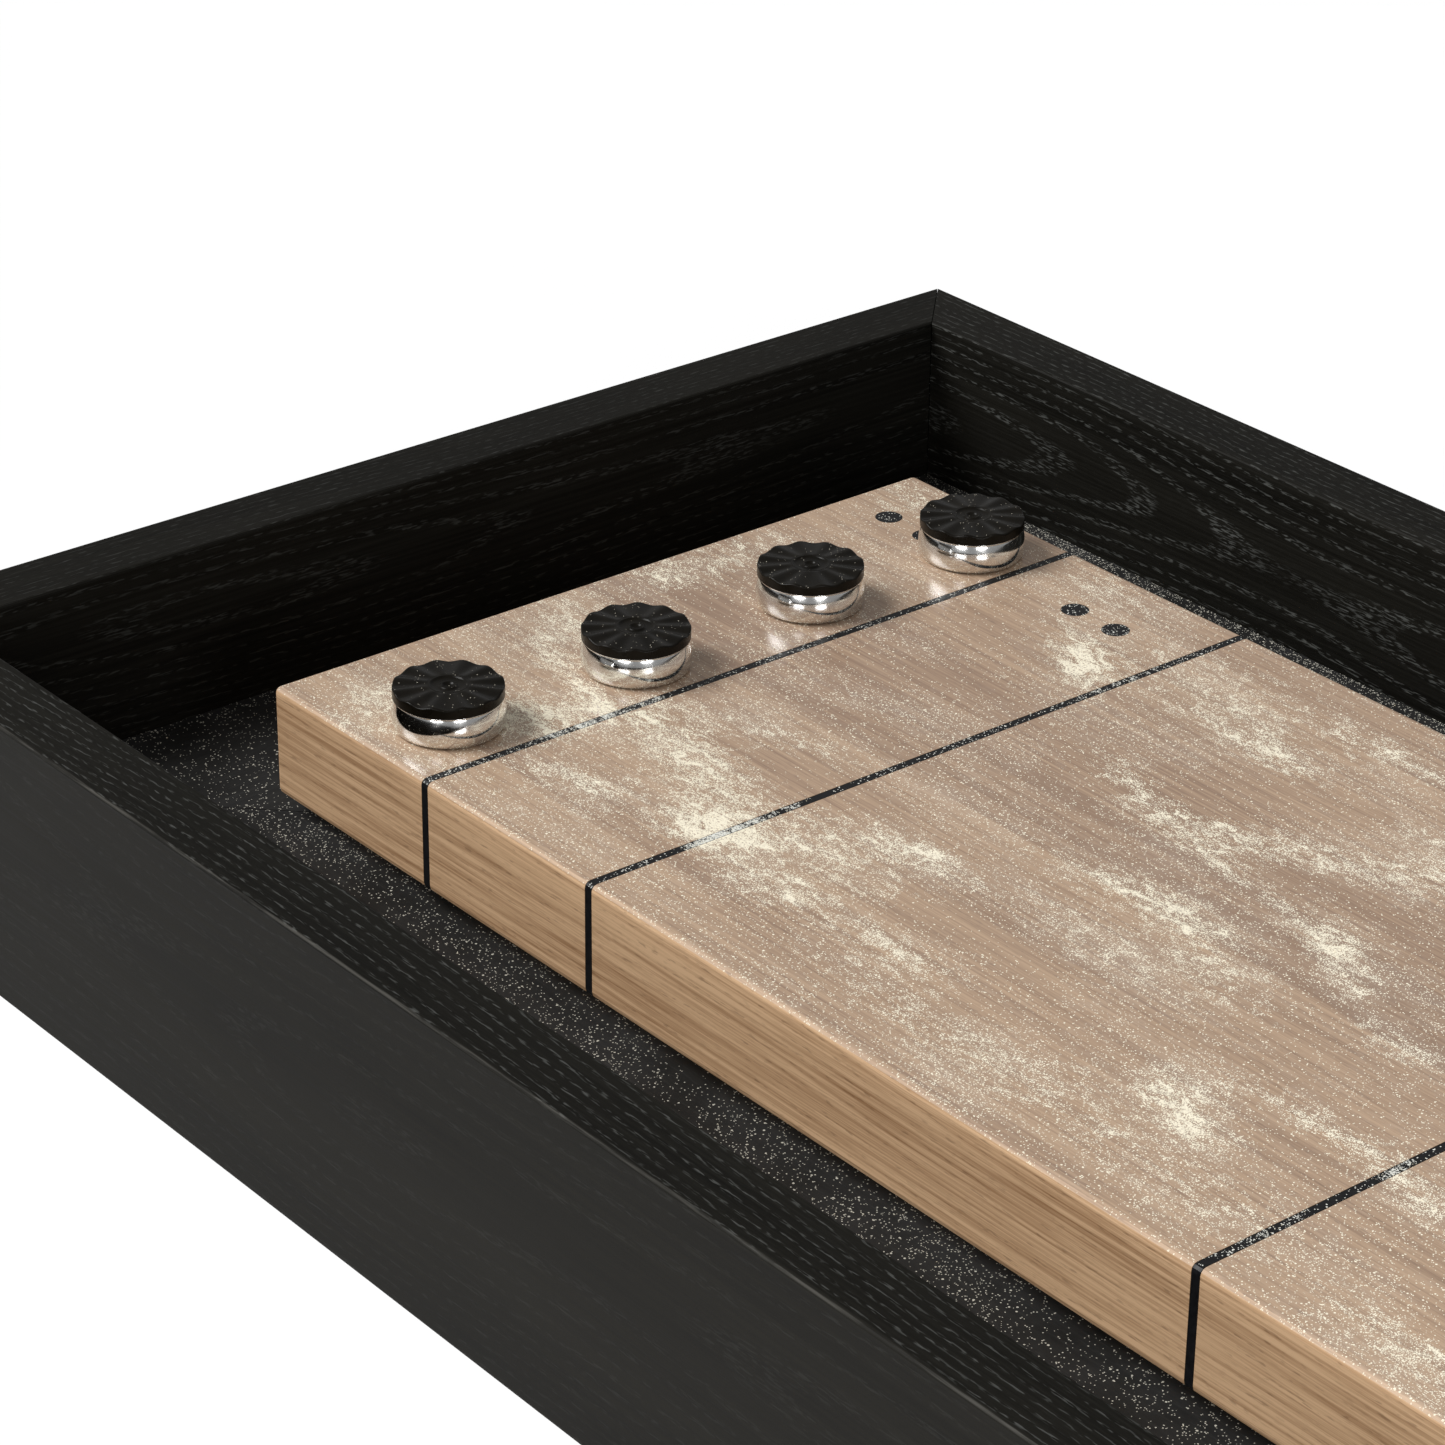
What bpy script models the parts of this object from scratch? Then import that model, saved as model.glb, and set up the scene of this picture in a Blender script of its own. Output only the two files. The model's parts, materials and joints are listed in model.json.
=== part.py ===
"""Shuffleboard table: an oak playfield slab inside a black oak cradle with a gutter all round it,
on two slab pedestals joined by a stretcher, with four weights (pucks) on its left end.

Metres, +Z up. X runs along the table, Y across it from the near side to the far side, and the
floor is Z = 0. "Left" is the -X end and "near" is the -Y side.
"""

import math

import bmesh
import bpy

# Overall design
PLAYFIELD_LENGTH = 2.4384
PLAYFIELD_WIDTH = 0.4064
PLAYFIELD_THICKNESS = 0.058
SIDE_GUTTER = 0.110
END_GUTTER = 0.112
RAIL_THICKNESS = 0.038
RAIL_HEIGHT = 0.1524
RAIL_TOP = 0.800
PLAYFIELD_DROP = 0.024  # from the rails' top down to the playfield's top
GUTTER_DEPTH = 0.092  # from the rails' top down to the gutter floor
GAP = 0.0003  # clearance between pieces that touch

LENGTH = PLAYFIELD_LENGTH + 2 * (END_GUTTER + RAIL_THICKNESS)
WIDTH = PLAYFIELD_WIDTH + 2 * (SIDE_GUTTER + RAIL_THICKNESS)
RAIL_BOTTOM = RAIL_TOP - RAIL_HEIGHT
PLAYFIELD_TOP = RAIL_TOP - PLAYFIELD_DROP
PLAYFIELD_BOTTOM = PLAYFIELD_TOP - PLAYFIELD_THICKNESS
GUTTER_FLOOR = RAIL_TOP - GUTTER_DEPTH

# Playfield edges and the black inlays
TOP_ARRIS = 0.003
BOTTOM_ARRIS = 0.004
END_ARRIS = 0.0025
ARC_STEPS = 3
LINE_OFFSETS = (0.1236, 0.2474, 0.6290)  # from the playfield's end to each line's middle
LINE_WIDTH = 0.0050
GROOVE_DEPTH = 0.0020

# Cradle
RAIL_ARRIS = 0.0018
BOARD_WIDTH = 0.130
BOARD_THICKNESS = 0.018
BEARER_WIDTH = 0.044
BEARER_POSITIONS = (-1.130, -0.700, 0.700, 1.130)
RISER_WIDTH = 0.040
RISER_LENGTH = 0.320
CORNER_BLOCK_LEG = 0.070

# Climatic adjusters
ADJUSTER_POSITIONS = (-0.420, 0.0, 0.420)
ADJUSTER_BAR_LENGTH = 0.310
ADJUSTER_BAR_WIDTH = 0.032
ADJUSTER_BAR_THICKNESS = 0.007
ADJUSTER_STANDOFF = 0.013
ADJUSTER_FOOT_LENGTH = 0.030
ADJUSTER_BOSS = 0.030
ADJUSTER_BOSS_DEPTH = 0.012
ADJUSTER_SCREW_RADIUS = 0.0060
ADJUSTER_HEAD_ACROSS_FLATS = 0.019
ADJUSTER_HEAD_HEIGHT = 0.008
ADJUSTER_HEAD_CLEARANCE = 0.006

# Base
PEDESTAL_X = 0.700
BEAM_WIDTH = 0.090
BEAM_LENGTH = 0.620
BEAM_HEIGHT = 0.060
PANEL_THICKNESS = 0.058
PANEL_WIDTH = 0.480
FOOT_HEIGHT = 0.070
FOOT_CHAMFER = 0.028
STRETCHER_THICKNESS = 0.050
STRETCHER_HEIGHT = 0.120
STRETCHER_MIDDLE = 0.300
WOOD_ARRIS = 0.0015

# Pedestal bolts
BOLT_Y = 0.275
BOLT_RADIUS = 0.0050
BOLT_HOLE_RADIUS = 0.0055
BOLT_HEAD_ACROSS_FLATS = 0.016
BOLT_HEAD_HEIGHT = 0.0064
COUNTERBORE_RADIUS = 0.013
COUNTERBORE_DEPTH = 0.014
BOLT_GRIP_IN_BEARER = 0.030

# Levelling feet
LEVELLER_Y = 0.270
PAD_RADIUS = 0.025
PAD_RIM_HEIGHT = 0.008
PAD_HUB_RADIUS = 0.010
PAD_HEIGHT = 0.012
STEM_RADIUS = 0.0050
STEM_HOLE_RADIUS = 0.0054
STEM_COLLAR_ACROSS_FLATS = 0.016
STEM_COLLAR_HEIGHT = 0.006
STEM_LENGTH_IN_FOOT = 0.045
STEM_HOLE_DEPTH = 0.050
FOOT_BOTTOM = PAD_HEIGHT + STEM_COLLAR_HEIGHT + 2 * GAP

# Pucks: each place is (from the playfield's left end, from its near side), then the cap's turn
PUCK_PLACES = (
    (0.0856, 0.0416, 8.0),
    (0.0902, 0.1495, 20.0),
    (0.0872, 0.2615, 2.0),
    (0.0928, 0.3639, 13.0),
)
PUCK_LIFT = 0.0005  # the thickness of the powder that a puck rides on
WEIGHT_RADIUS = 0.0272
WEIGHT_BASE_RADIUS = 0.0225
WEIGHT_LIP_RADIUS = 0.0262
WEIGHT_HEIGHT = 0.0178
WEIGHT_SEAT_RADIUS = 0.0250
WEIGHT_SEAT_DEPTH = 0.0020
CAP_RADIUS = 0.0257
CAP_TOP = 0.0220
CAP_SPIGOT_RADIUS = 0.0245
CAP_STEM_RADIUS = 0.0060
CAP_STEM_BOTTOM = 0.0060
CAP_FLUTES = 12
CAP_FLUTE_DIP = 0.0011
CAP_HUB_RADIUS = 0.0090
CAP_SEGMENTS = 36
ROUND_SEGMENTS = 32
FASTENER_SEGMENTS = 12


# ---------------------------------------------------------------- materials and objects


def make_material(name, color, roughness, metallic=0.0):
    material = bpy.data.materials.new(name)
    material.use_nodes = True
    shader = material.node_tree.nodes["Principled BSDF"]
    shader.inputs["Base Color"].default_value = (*color, 1.0)
    shader.inputs["Roughness"].default_value = roughness
    shader.inputs["Metallic"].default_value = metallic
    material.diffuse_color = (*color, 1.0)
    return material


def make_materials():
    return {
        "natural_oak": make_material("natural_oak", (0.50, 0.33, 0.19), 0.25),
        "black_oak": make_material("black_oak", (0.020, 0.019, 0.017), 0.45),
        "black_inlay": make_material("black_inlay", (0.008, 0.008, 0.009), 0.35),
        "birch_ply": make_material("birch_ply", (0.55, 0.42, 0.27), 0.60),
        "plated_steel": make_material("plated_steel", (0.55, 0.55, 0.54), 0.30, 1.0),
        "painted_steel": make_material("painted_steel", (0.03, 0.03, 0.03), 0.45),
        "black_rubber": make_material("black_rubber", (0.015, 0.015, 0.015), 0.75),
        "chrome": make_material("chrome", (0.78, 0.78, 0.79), 0.06, 1.0),
        "cap_plastic": make_material("cap_plastic", (0.012, 0.012, 0.011), 0.28),
    }


def add_object(name, bm, material, location=(0.0, 0.0, 0.0), turn=0.0):
    bmesh.ops.recalc_face_normals(bm, faces=bm.faces)
    mesh = bpy.data.meshes.new(name)
    bm.to_mesh(mesh)
    bm.free()
    obj = bpy.data.objects.new(name, mesh)
    obj.location = location
    obj.rotation_euler.z = math.radians(turn)
    if material:
        mesh.materials.append(material)
    bpy.context.scene.collection.objects.link(obj)
    return obj


def shade_round(obj, angle=35.0):
    obj.data.shade_smooth()
    obj.data.set_sharp_from_angle(angle=math.radians(angle))


def soften(obj, width=WOOD_ARRIS, segments=2):
    """Rounds the long edges of a wooden piece a little."""
    bevel = obj.modifiers.new("arris", "BEVEL")
    bevel.width = width
    bevel.segments = segments
    bevel.limit_method = "ANGLE"
    bevel.angle_limit = math.radians(40.0)


def cut(obj, cutter):
    """Subtracts a cutter from an object and keeps the cutter out of the finished part."""
    cutter.hide_render = True
    cutter.display_type = "WIRE"
    boolean = obj.modifiers.new("cut_" + cutter.name, "BOOLEAN")
    boolean.operation = "DIFFERENCE"
    boolean.solver = "EXACT"
    boolean.object = cutter


# ---------------------------------------------------------------- shapes


def box_mesh(low, high):
    bm = bmesh.new()
    corners = [(x, y) for x, y in ((low[0], low[1]), (high[0], low[1]), (high[0], high[1]), (low[0], high[1]))]
    bottom = [bm.verts.new((x, y, low[2])) for x, y in corners]
    top = [bm.verts.new((x, y, high[2])) for x, y in corners]
    close_loft(bm, [bottom, top])
    return bm


def skin(bm, first, second, closed=True):
    """Joins two loops of equally many vertices with a row of faces."""
    count = len(first)
    for i in range(count if closed else count - 1):
        j = (i + 1) % count
        bm.faces.new((first[i], first[j], second[j], second[i]))


def close_loft(bm, loops):
    """Joins loops into one closed body, with a flat face at each end."""
    for first, second in zip(loops, loops[1:]):
        skin(bm, first, second)
    bm.faces.new(loops[0])
    bm.faces.new(loops[-1])


def extruded(outline, along, place):
    """A prism: the outline's points, placed at both values of along by place(a, b, along)."""
    bm = bmesh.new()
    loops = [[bm.verts.new(place(a, b, end)) for a, b in outline] for end in along]
    close_loft(bm, loops)
    return bm


def round_ring(radius, height):
    return lambda angle: (radius, height)


def hex_ring(across_flats, height):
    """A hexagon's outline, as a radius for each angle."""
    sector = math.radians(60.0)

    def ring(angle):
        off_middle = (angle % sector) - sector / 2
        return (across_flats / 2 / math.cos(off_middle), height)

    return ring


def stacked(rings, segments):
    """A body built round the Z axis from rings, each giving (radius, height) at an angle."""
    bm = bmesh.new()
    loops = []
    for ring in rings:
        loop = []
        for i in range(segments):
            angle = 2 * math.pi * i / segments
            radius, height = ring(angle)
            loop.append(bm.verts.new((radius * math.cos(angle), radius * math.sin(angle), height)))
        loops.append(loop)
    close_loft(bm, loops)
    return bm


def arc(center, radius, start, end, steps):
    """Points on an arc between two angles in degrees, both ends included."""
    points = []
    for i in range(steps + 1):
        angle = math.radians(start + (end - start) * i / steps)
        points.append((center[0] + radius * math.cos(angle), center[1] + radius * math.sin(angle)))
    return points


# ---------------------------------------------------------------- playfield and inlays


def slab_path(inset, trim=0.0):
    """The playfield's outline in (y, z), from its near underside over the top to its far underside,
    drawn inside the surface by inset. Trim shortens it at both ends."""
    edge = PLAYFIELD_WIDTH / 2
    low = (edge - BOTTOM_ARRIS, PLAYFIELD_BOTTOM + BOTTOM_ARRIS)
    high = (edge - TOP_ARRIS, PLAYFIELD_TOP - TOP_ARRIS)
    far_side = arc(high, TOP_ARRIS - inset, 90.0, 0.0, ARC_STEPS)
    far_side += arc(low, BOTTOM_ARRIS - inset, 0.0, -90.0, ARC_STEPS)
    last_y, last_z = far_side[-1]
    far_side[-1] = (last_y + trim, last_z)
    near_side = [(-y, z) for y, z in reversed(far_side)]
    return near_side + far_side


def slab_loop(bm, x, inset):
    return [bm.verts.new((x, y, z)) for y, z in slab_path(inset)]


def end_loops(bm, end):
    """The loops that round off one end of the slab, from its end face inwards."""
    loops = []
    for i in range(ARC_STEPS + 1):
        turn = math.radians(90.0 * i / ARC_STEPS)
        inset = END_ARRIS * (1.0 - math.sin(turn))
        back = END_ARRIS * (1.0 - math.cos(turn))
        loops.append(slab_loop(bm, end * (PLAYFIELD_LENGTH / 2 - back), inset))
    return loops


def line_positions():
    """The middles of the six score lines, from the left end to the right end."""
    from_middle = [PLAYFIELD_LENGTH / 2 - offset for offset in LINE_OFFSETS]
    return [-x for x in from_middle] + [x for x in reversed(from_middle)]


def grooved_slab():
    """The slab as loops along X, with a groove over its top and sides at each score line."""
    bm = bmesh.new()
    left_end = end_loops(bm, -1)
    right_end = end_loops(bm, 1)
    for first, second in zip(left_end, left_end[1:]):
        skin(bm, first, second)
    last = left_end[-1]
    for middle in line_positions():
        low_x, high_x = middle - LINE_WIDTH / 2, middle + LINE_WIDTH / 2
        low_rim, low_floor = slab_loop(bm, low_x, 0.0), slab_loop(bm, low_x, GROOVE_DEPTH)
        high_rim, high_floor = slab_loop(bm, high_x, 0.0), slab_loop(bm, high_x, GROOVE_DEPTH)
        skin(bm, last, low_rim)
        skin(bm, low_rim, low_floor, closed=False)
        low_section = [low_rim[0]] + low_floor + [low_rim[-1]]
        high_section = [high_rim[0]] + high_floor + [high_rim[-1]]
        skin(bm, low_section, high_section)
        skin(bm, high_floor, high_rim, closed=False)
        last = high_rim
    skin(bm, last, right_end[-1])
    for first, second in zip(right_end, right_end[1:]):
        skin(bm, first, second)
    bm.faces.new(left_end[0])
    bm.faces.new(right_end[0])
    return bm


def inlay_strip(low_x, high_x):
    """A band that fills a groove, flush with the slab's surface."""
    bm = bmesh.new()
    loops = []
    outer_path = slab_path(0.0, trim=GAP)
    inner_path = slab_path(GROOVE_DEPTH - GAP, trim=GAP)
    for (outer_y, outer_z), (inner_y, inner_z) in zip(outer_path, inner_path):
        corners = (
            (low_x, outer_y, outer_z),
            (high_x, outer_y, outer_z),
            (high_x, inner_y, inner_z),
            (low_x, inner_y, inner_z),
        )
        loops.append([bm.verts.new(corner) for corner in corners])
    close_loft(bm, loops)
    return bm


def make_playfield(materials):
    shade_round(add_object("playfield", grooved_slab(), materials["natural_oak"]))
    names = [f"left_{n}" for n in (1, 2, 3)] + [f"right_{n}" for n in (3, 2, 1)]
    half_width = LINE_WIDTH / 2 - GAP
    for name, middle in zip(names, line_positions()):
        strip = inlay_strip(middle - half_width, middle + half_width)
        shade_round(add_object("score_line_" + name, strip, materials["black_inlay"]))


# ---------------------------------------------------------------- cradle


def along_side(sign):
    """Places a section point (a in from the cradle's outer face, z) on a side rail or board."""
    return lambda a, z, end: (end * (LENGTH / 2 - a - GAP), sign * (WIDTH / 2 - a), z)


def along_end(sign):
    """The same for an end rail or board: the ends stop on the 45 degree mitre."""
    return lambda a, z, end: (sign * (LENGTH / 2 - a), end * (WIDTH / 2 - a - GAP), z)


def rail_section():
    """A rail's section in (a, z), with its four arrises rounded."""
    radius = RAIL_ARRIS
    low_a, high_a = radius, RAIL_THICKNESS - radius
    low_z, high_z = RAIL_BOTTOM + radius, RAIL_TOP - radius
    outline = arc((low_a, low_z), radius, 180.0, 270.0, ARC_STEPS)
    outline += arc((high_a, low_z), radius, 270.0, 360.0, ARC_STEPS)
    outline += arc((high_a, high_z), radius, 0.0, 90.0, ARC_STEPS)
    outline += arc((low_a, high_z), radius, 90.0, 180.0, ARC_STEPS)
    return outline


def board_section():
    low_a, high_a = RAIL_THICKNESS + GAP, RAIL_THICKNESS + BOARD_WIDTH
    low_z = GUTTER_FLOOR - BOARD_THICKNESS
    return [(low_a, low_z), (high_a, low_z), (high_a, GUTTER_FLOOR), (low_a, GUTTER_FLOOR)]


def make_cradle(materials):
    sides = (
        ("near", along_side(-1), "side_rail_near"),
        ("far", along_side(1), "side_rail_far"),
        ("left", along_end(-1), "end_rail_left"),
        ("right", along_end(1), "end_rail_right"),
    )
    for side, place, rail_name in sides:
        rail = extruded(rail_section(), (-1, 1), place)
        shade_round(add_object(rail_name, rail, materials["black_oak"]))
        board = extruded(board_section(), (-1, 1), place)
        add_object("gutter_board_" + side, board, materials["black_oak"])


def make_corner_blocks(materials):
    inner_x = LENGTH / 2 - RAIL_THICKNESS - GAP
    inner_y = WIDTH / 2 - RAIL_THICKNESS - GAP
    low_z = RAIL_BOTTOM + 0.002
    high_z = GUTTER_FLOOR - BOARD_THICKNESS - GAP
    triangle = [(0.0, 0.0), (CORNER_BLOCK_LEG, 0.0), (0.0, CORNER_BLOCK_LEG)]
    corners = [(-1, -1), (-1, 1), (1, -1), (1, 1)]
    for number, (end, side) in enumerate(corners, start=1):

        def place(a, b, z, end=end, side=side):
            return (end * (inner_x - a), side * (inner_y - b), z)

        block = extruded(triangle, (low_z, high_z), place)
        add_object(f"corner_block_{number}", block, materials["birch_ply"])


def make_bearers(materials):
    """Cross bearers between the side rails, each with a riser block that holds up the playfield."""
    half_span = WIDTH / 2 - RAIL_THICKNESS - GAP
    bearer_top = GUTTER_FLOOR - BOARD_THICKNESS - GAP
    for number, x in enumerate(BEARER_POSITIONS, start=1):
        low = (x - BEARER_WIDTH / 2, -half_span, RAIL_BOTTOM)
        high = (x + BEARER_WIDTH / 2, half_span, bearer_top)
        bearer = add_object(f"cross_bearer_{number}", box_mesh(low, high), materials["birch_ply"])
        if abs(abs(x) - PEDESTAL_X) < BEARER_WIDTH / 2:
            for side in (-1, 1):
                hole = stacked(
                    [
                        round_ring(BOLT_HOLE_RADIUS, -0.010),
                        round_ring(BOLT_HOLE_RADIUS, BOLT_GRIP_IN_BEARER + 0.003),
                    ],
                    FASTENER_SEGMENTS,
                )
                place = (x, side * BOLT_Y, RAIL_BOTTOM)
                cut(bearer, add_object(f"bearer_hole_{number}_{side}", hole, None, place))
        low = (x - RISER_WIDTH / 2, -RISER_LENGTH / 2, bearer_top + GAP)
        high = (x + RISER_WIDTH / 2, RISER_LENGTH / 2, PLAYFIELD_BOTTOM - GAP)
        riser = add_object(f"riser_block_{number}", box_mesh(low, high), materials["birch_ply"])
        soften(riser)


# ---------------------------------------------------------------- climatic adjusters


def adjuster_bar_outline():
    """The bar's outline in (y, z) below the playfield: two end feet, the bar and its middle boss."""
    half = ADJUSTER_BAR_LENGTH / 2
    top = -GAP
    bar_top = top - ADJUSTER_STANDOFF
    bar_bottom = bar_top - ADJUSTER_BAR_THICKNESS
    boss_bottom = bar_bottom - ADJUSTER_BOSS_DEPTH
    right = [
        (ADJUSTER_BOSS / 2, boss_bottom),
        (ADJUSTER_BOSS / 2, bar_bottom),
        (half, bar_bottom),
        (half, top),
        (half - ADJUSTER_FOOT_LENGTH, top),
        (half - ADJUSTER_FOOT_LENGTH, bar_top),
    ]
    return right + [(-y, z) for y, z in reversed(right)]


def make_adjusters(materials):
    boss_bottom = -GAP - ADJUSTER_STANDOFF - ADJUSTER_BAR_THICKNESS - ADJUSTER_BOSS_DEPTH
    head_top = boss_bottom - ADJUSTER_HEAD_CLEARANCE
    head_bottom = head_top - ADJUSTER_HEAD_HEIGHT
    half_width = ADJUSTER_BAR_WIDTH / 2
    for number, x in enumerate(ADJUSTER_POSITIONS, start=1):
        place = (x, 0.0, PLAYFIELD_BOTTOM)
        outline = adjuster_bar_outline()
        bar = extruded(outline, (-half_width, half_width), lambda y, z, along: (along, y, z))
        bar = add_object(f"adjuster_bar_{number}", bar, materials["painted_steel"], place)
        bore_radius = ADJUSTER_SCREW_RADIUS + GAP
        bore = [round_ring(bore_radius, boss_bottom - 0.005), round_ring(bore_radius, 0.0)]
        bore = stacked(bore, FASTENER_SEGMENTS)
        cut(bar, add_object(f"adjuster_bore_{number}", bore, None, place))
        rings = [
            hex_ring(ADJUSTER_HEAD_ACROSS_FLATS, head_bottom),
            hex_ring(ADJUSTER_HEAD_ACROSS_FLATS, head_top),
            round_ring(ADJUSTER_SCREW_RADIUS, head_top),
            round_ring(ADJUSTER_SCREW_RADIUS, -0.002),
            round_ring(ADJUSTER_SCREW_RADIUS - 0.0015, -GAP),
        ]
        screw = stacked(rings, FASTENER_SEGMENTS)
        screw = add_object(f"adjuster_screw_{number}", screw, materials["plated_steel"], place)
        shade_round(screw)


# ---------------------------------------------------------------- base


def make_pedestal_beam(name, x, materials):
    """The beam that the cradle stands on, with a counterbored hole near each end."""
    top = RAIL_BOTTOM - GAP
    low = (x - BEAM_WIDTH / 2, -BEAM_LENGTH / 2, top - BEAM_HEIGHT)
    high = (x + BEAM_WIDTH / 2, BEAM_LENGTH / 2, top)
    beam = add_object(name, box_mesh(low, high), materials["black_oak"])
    soften(beam)
    for side in (-1, 1):
        rings = [
            round_ring(COUNTERBORE_RADIUS, -0.005),
            round_ring(COUNTERBORE_RADIUS, COUNTERBORE_DEPTH),
            round_ring(BOLT_HOLE_RADIUS, COUNTERBORE_DEPTH),
            round_ring(BOLT_HOLE_RADIUS, BEAM_HEIGHT + 0.005),
        ]
        hole = stacked(rings, FASTENER_SEGMENTS)
        place = (x, side * BOLT_Y, top - BEAM_HEIGHT)
        cut(beam, add_object(f"{name}_hole_{side}", hole, None, place))


def make_pedestal_foot(name, x, materials):
    """The floor beam, with its upper ends sloped and a hole for each levelling stem."""
    half = BEAM_LENGTH / 2
    top = FOOT_BOTTOM + FOOT_HEIGHT
    outline = [
        (-half, FOOT_BOTTOM),
        (half, FOOT_BOTTOM),
        (half, top - FOOT_CHAMFER),
        (half - FOOT_CHAMFER, top),
        (-half + FOOT_CHAMFER, top),
        (-half, top - FOOT_CHAMFER),
    ]
    ends = (x - BEAM_WIDTH / 2, x + BEAM_WIDTH / 2)
    foot = extruded(outline, ends, lambda y, z, along: (along, y, z))
    foot = add_object(name, foot, materials["black_oak"])
    soften(foot)
    for side in (-1, 1):
        rings = [round_ring(STEM_HOLE_RADIUS, -0.005), round_ring(STEM_HOLE_RADIUS, STEM_HOLE_DEPTH)]
        hole = stacked(rings, FASTENER_SEGMENTS)
        place = (x, side * LEVELLER_Y, FOOT_BOTTOM)
        cut(foot, add_object(f"{name}_hole_{side}", hole, None, place))


def make_base(materials):
    panel_bottom = FOOT_BOTTOM + FOOT_HEIGHT + GAP
    panel_top = RAIL_BOTTOM - GAP - BEAM_HEIGHT - GAP
    for end_name, x in (("left", -PEDESTAL_X), ("right", PEDESTAL_X)):
        make_pedestal_beam("pedestal_beam_" + end_name, x, materials)
        make_pedestal_foot("pedestal_foot_" + end_name, x, materials)
        low = (x - PANEL_THICKNESS / 2, -PANEL_WIDTH / 2, panel_bottom)
        high = (x + PANEL_THICKNESS / 2, PANEL_WIDTH / 2, panel_top)
        panel = add_object("pedestal_panel_" + end_name, box_mesh(low, high), materials["black_oak"])
        soften(panel)
    reach = PEDESTAL_X - PANEL_THICKNESS / 2 - GAP
    low = (-reach, -STRETCHER_THICKNESS / 2, STRETCHER_MIDDLE - STRETCHER_HEIGHT / 2)
    high = (reach, STRETCHER_THICKNESS / 2, STRETCHER_MIDDLE + STRETCHER_HEIGHT / 2)
    soften(add_object("stretcher", box_mesh(low, high), materials["black_oak"]))


def make_pedestal_bolts(materials):
    seat = RAIL_BOTTOM - GAP - BEAM_HEIGHT + COUNTERBORE_DEPTH - GAP
    shank = RAIL_BOTTOM + BOLT_GRIP_IN_BEARER - seat
    rings = [
        hex_ring(BOLT_HEAD_ACROSS_FLATS, -BOLT_HEAD_HEIGHT),
        hex_ring(BOLT_HEAD_ACROSS_FLATS, 0.0),
        round_ring(BOLT_RADIUS, 0.0),
        round_ring(BOLT_RADIUS, shank - 0.002),
        round_ring(BOLT_RADIUS - 0.001, shank),
    ]
    places = [(x, y) for x in (-PEDESTAL_X, PEDESTAL_X) for y in (-BOLT_Y, BOLT_Y)]
    for number, (x, y) in enumerate(places, start=1):
        bolt = stacked(rings, FASTENER_SEGMENTS)
        bolt = add_object(f"pedestal_bolt_{number}", bolt, materials["plated_steel"], (x, y, seat))
        shade_round(bolt)


def make_levellers(materials):
    """Four levelling feet: a pad on the floor, and a stem that screws up into the pedestal foot."""
    pad_rings = [
        round_ring(PAD_RADIUS - 0.001, 0.0),
        round_ring(PAD_RADIUS, 0.0015),
        round_ring(PAD_RADIUS, PAD_RIM_HEIGHT - 0.004),
        round_ring(PAD_HUB_RADIUS + 0.004, PAD_RIM_HEIGHT),
        round_ring(PAD_HUB_RADIUS, PAD_RIM_HEIGHT + 0.001),
        round_ring(PAD_HUB_RADIUS, PAD_HEIGHT),
    ]
    collar_bottom = PAD_HEIGHT + GAP
    collar_top = collar_bottom + STEM_COLLAR_HEIGHT
    stem_rings = [
        hex_ring(STEM_COLLAR_ACROSS_FLATS, collar_bottom),
        hex_ring(STEM_COLLAR_ACROSS_FLATS, collar_top),
        round_ring(STEM_RADIUS, collar_top),
        round_ring(STEM_RADIUS, collar_top + STEM_LENGTH_IN_FOOT - 0.002),
        round_ring(STEM_RADIUS - 0.001, collar_top + STEM_LENGTH_IN_FOOT),
    ]
    places = [(x, y) for x in (-PEDESTAL_X, PEDESTAL_X) for y in (-LEVELLER_Y, LEVELLER_Y)]
    for number, (x, y) in enumerate(places, start=1):
        pad = stacked(pad_rings, ROUND_SEGMENTS)
        pad = add_object(f"leveller_pad_{number}", pad, materials["black_rubber"], (x, y, 0.0))
        shade_round(pad)
        stem = stacked(stem_rings, FASTENER_SEGMENTS)
        stem = add_object(f"leveller_stem_{number}", stem, materials["plated_steel"], (x, y, 0.0))
        shade_round(stem)


# ---------------------------------------------------------------- pucks


def weight_rings():
    """The steel weight: a barrel side, a rounded foot, a seat for the cap and a hole for its stem."""
    rings = [round_ring(WEIGHT_BASE_RADIUS - 0.0060, 0.0006), round_ring(WEIGHT_BASE_RADIUS - 0.0050, 0.0)]
    rings.append(round_ring(WEIGHT_BASE_RADIUS, 0.0))
    bulge_height = 0.55 * WEIGHT_HEIGHT
    foot_steps = 4
    for i in range(1, foot_steps + 1):
        turn = math.radians(90.0 * i / foot_steps)
        radius = WEIGHT_BASE_RADIUS + (WEIGHT_RADIUS - WEIGHT_BASE_RADIUS) * math.sin(turn)
        rings.append(round_ring(radius, bulge_height * (1.0 - math.cos(turn))))
    rings.append(round_ring((WEIGHT_RADIUS + WEIGHT_LIP_RADIUS) / 2 + 0.0002, 0.82 * WEIGHT_HEIGHT))
    rings.append(round_ring(WEIGHT_LIP_RADIUS, WEIGHT_HEIGHT - 0.0006))
    rings.append(round_ring(WEIGHT_LIP_RADIUS - 0.0006, WEIGHT_HEIGHT))
    rings.append(round_ring(WEIGHT_SEAT_RADIUS, WEIGHT_HEIGHT))
    rings.append(round_ring(WEIGHT_SEAT_RADIUS, WEIGHT_HEIGHT - WEIGHT_SEAT_DEPTH))
    rings.append(round_ring(CAP_STEM_RADIUS + GAP, WEIGHT_HEIGHT - WEIGHT_SEAT_DEPTH))
    rings.append(round_ring(CAP_STEM_RADIUS + GAP, CAP_STEM_BOTTOM - 0.0010))
    return rings


def fluted_ring(radius, height, radial, dip):
    """A ring that waves in and down once for each flute."""

    def ring(angle):
        valley = 0.5 - 0.5 * math.cos(CAP_FLUTES * angle)
        return (radius - radial * valley, height - dip * valley)

    return ring


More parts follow.
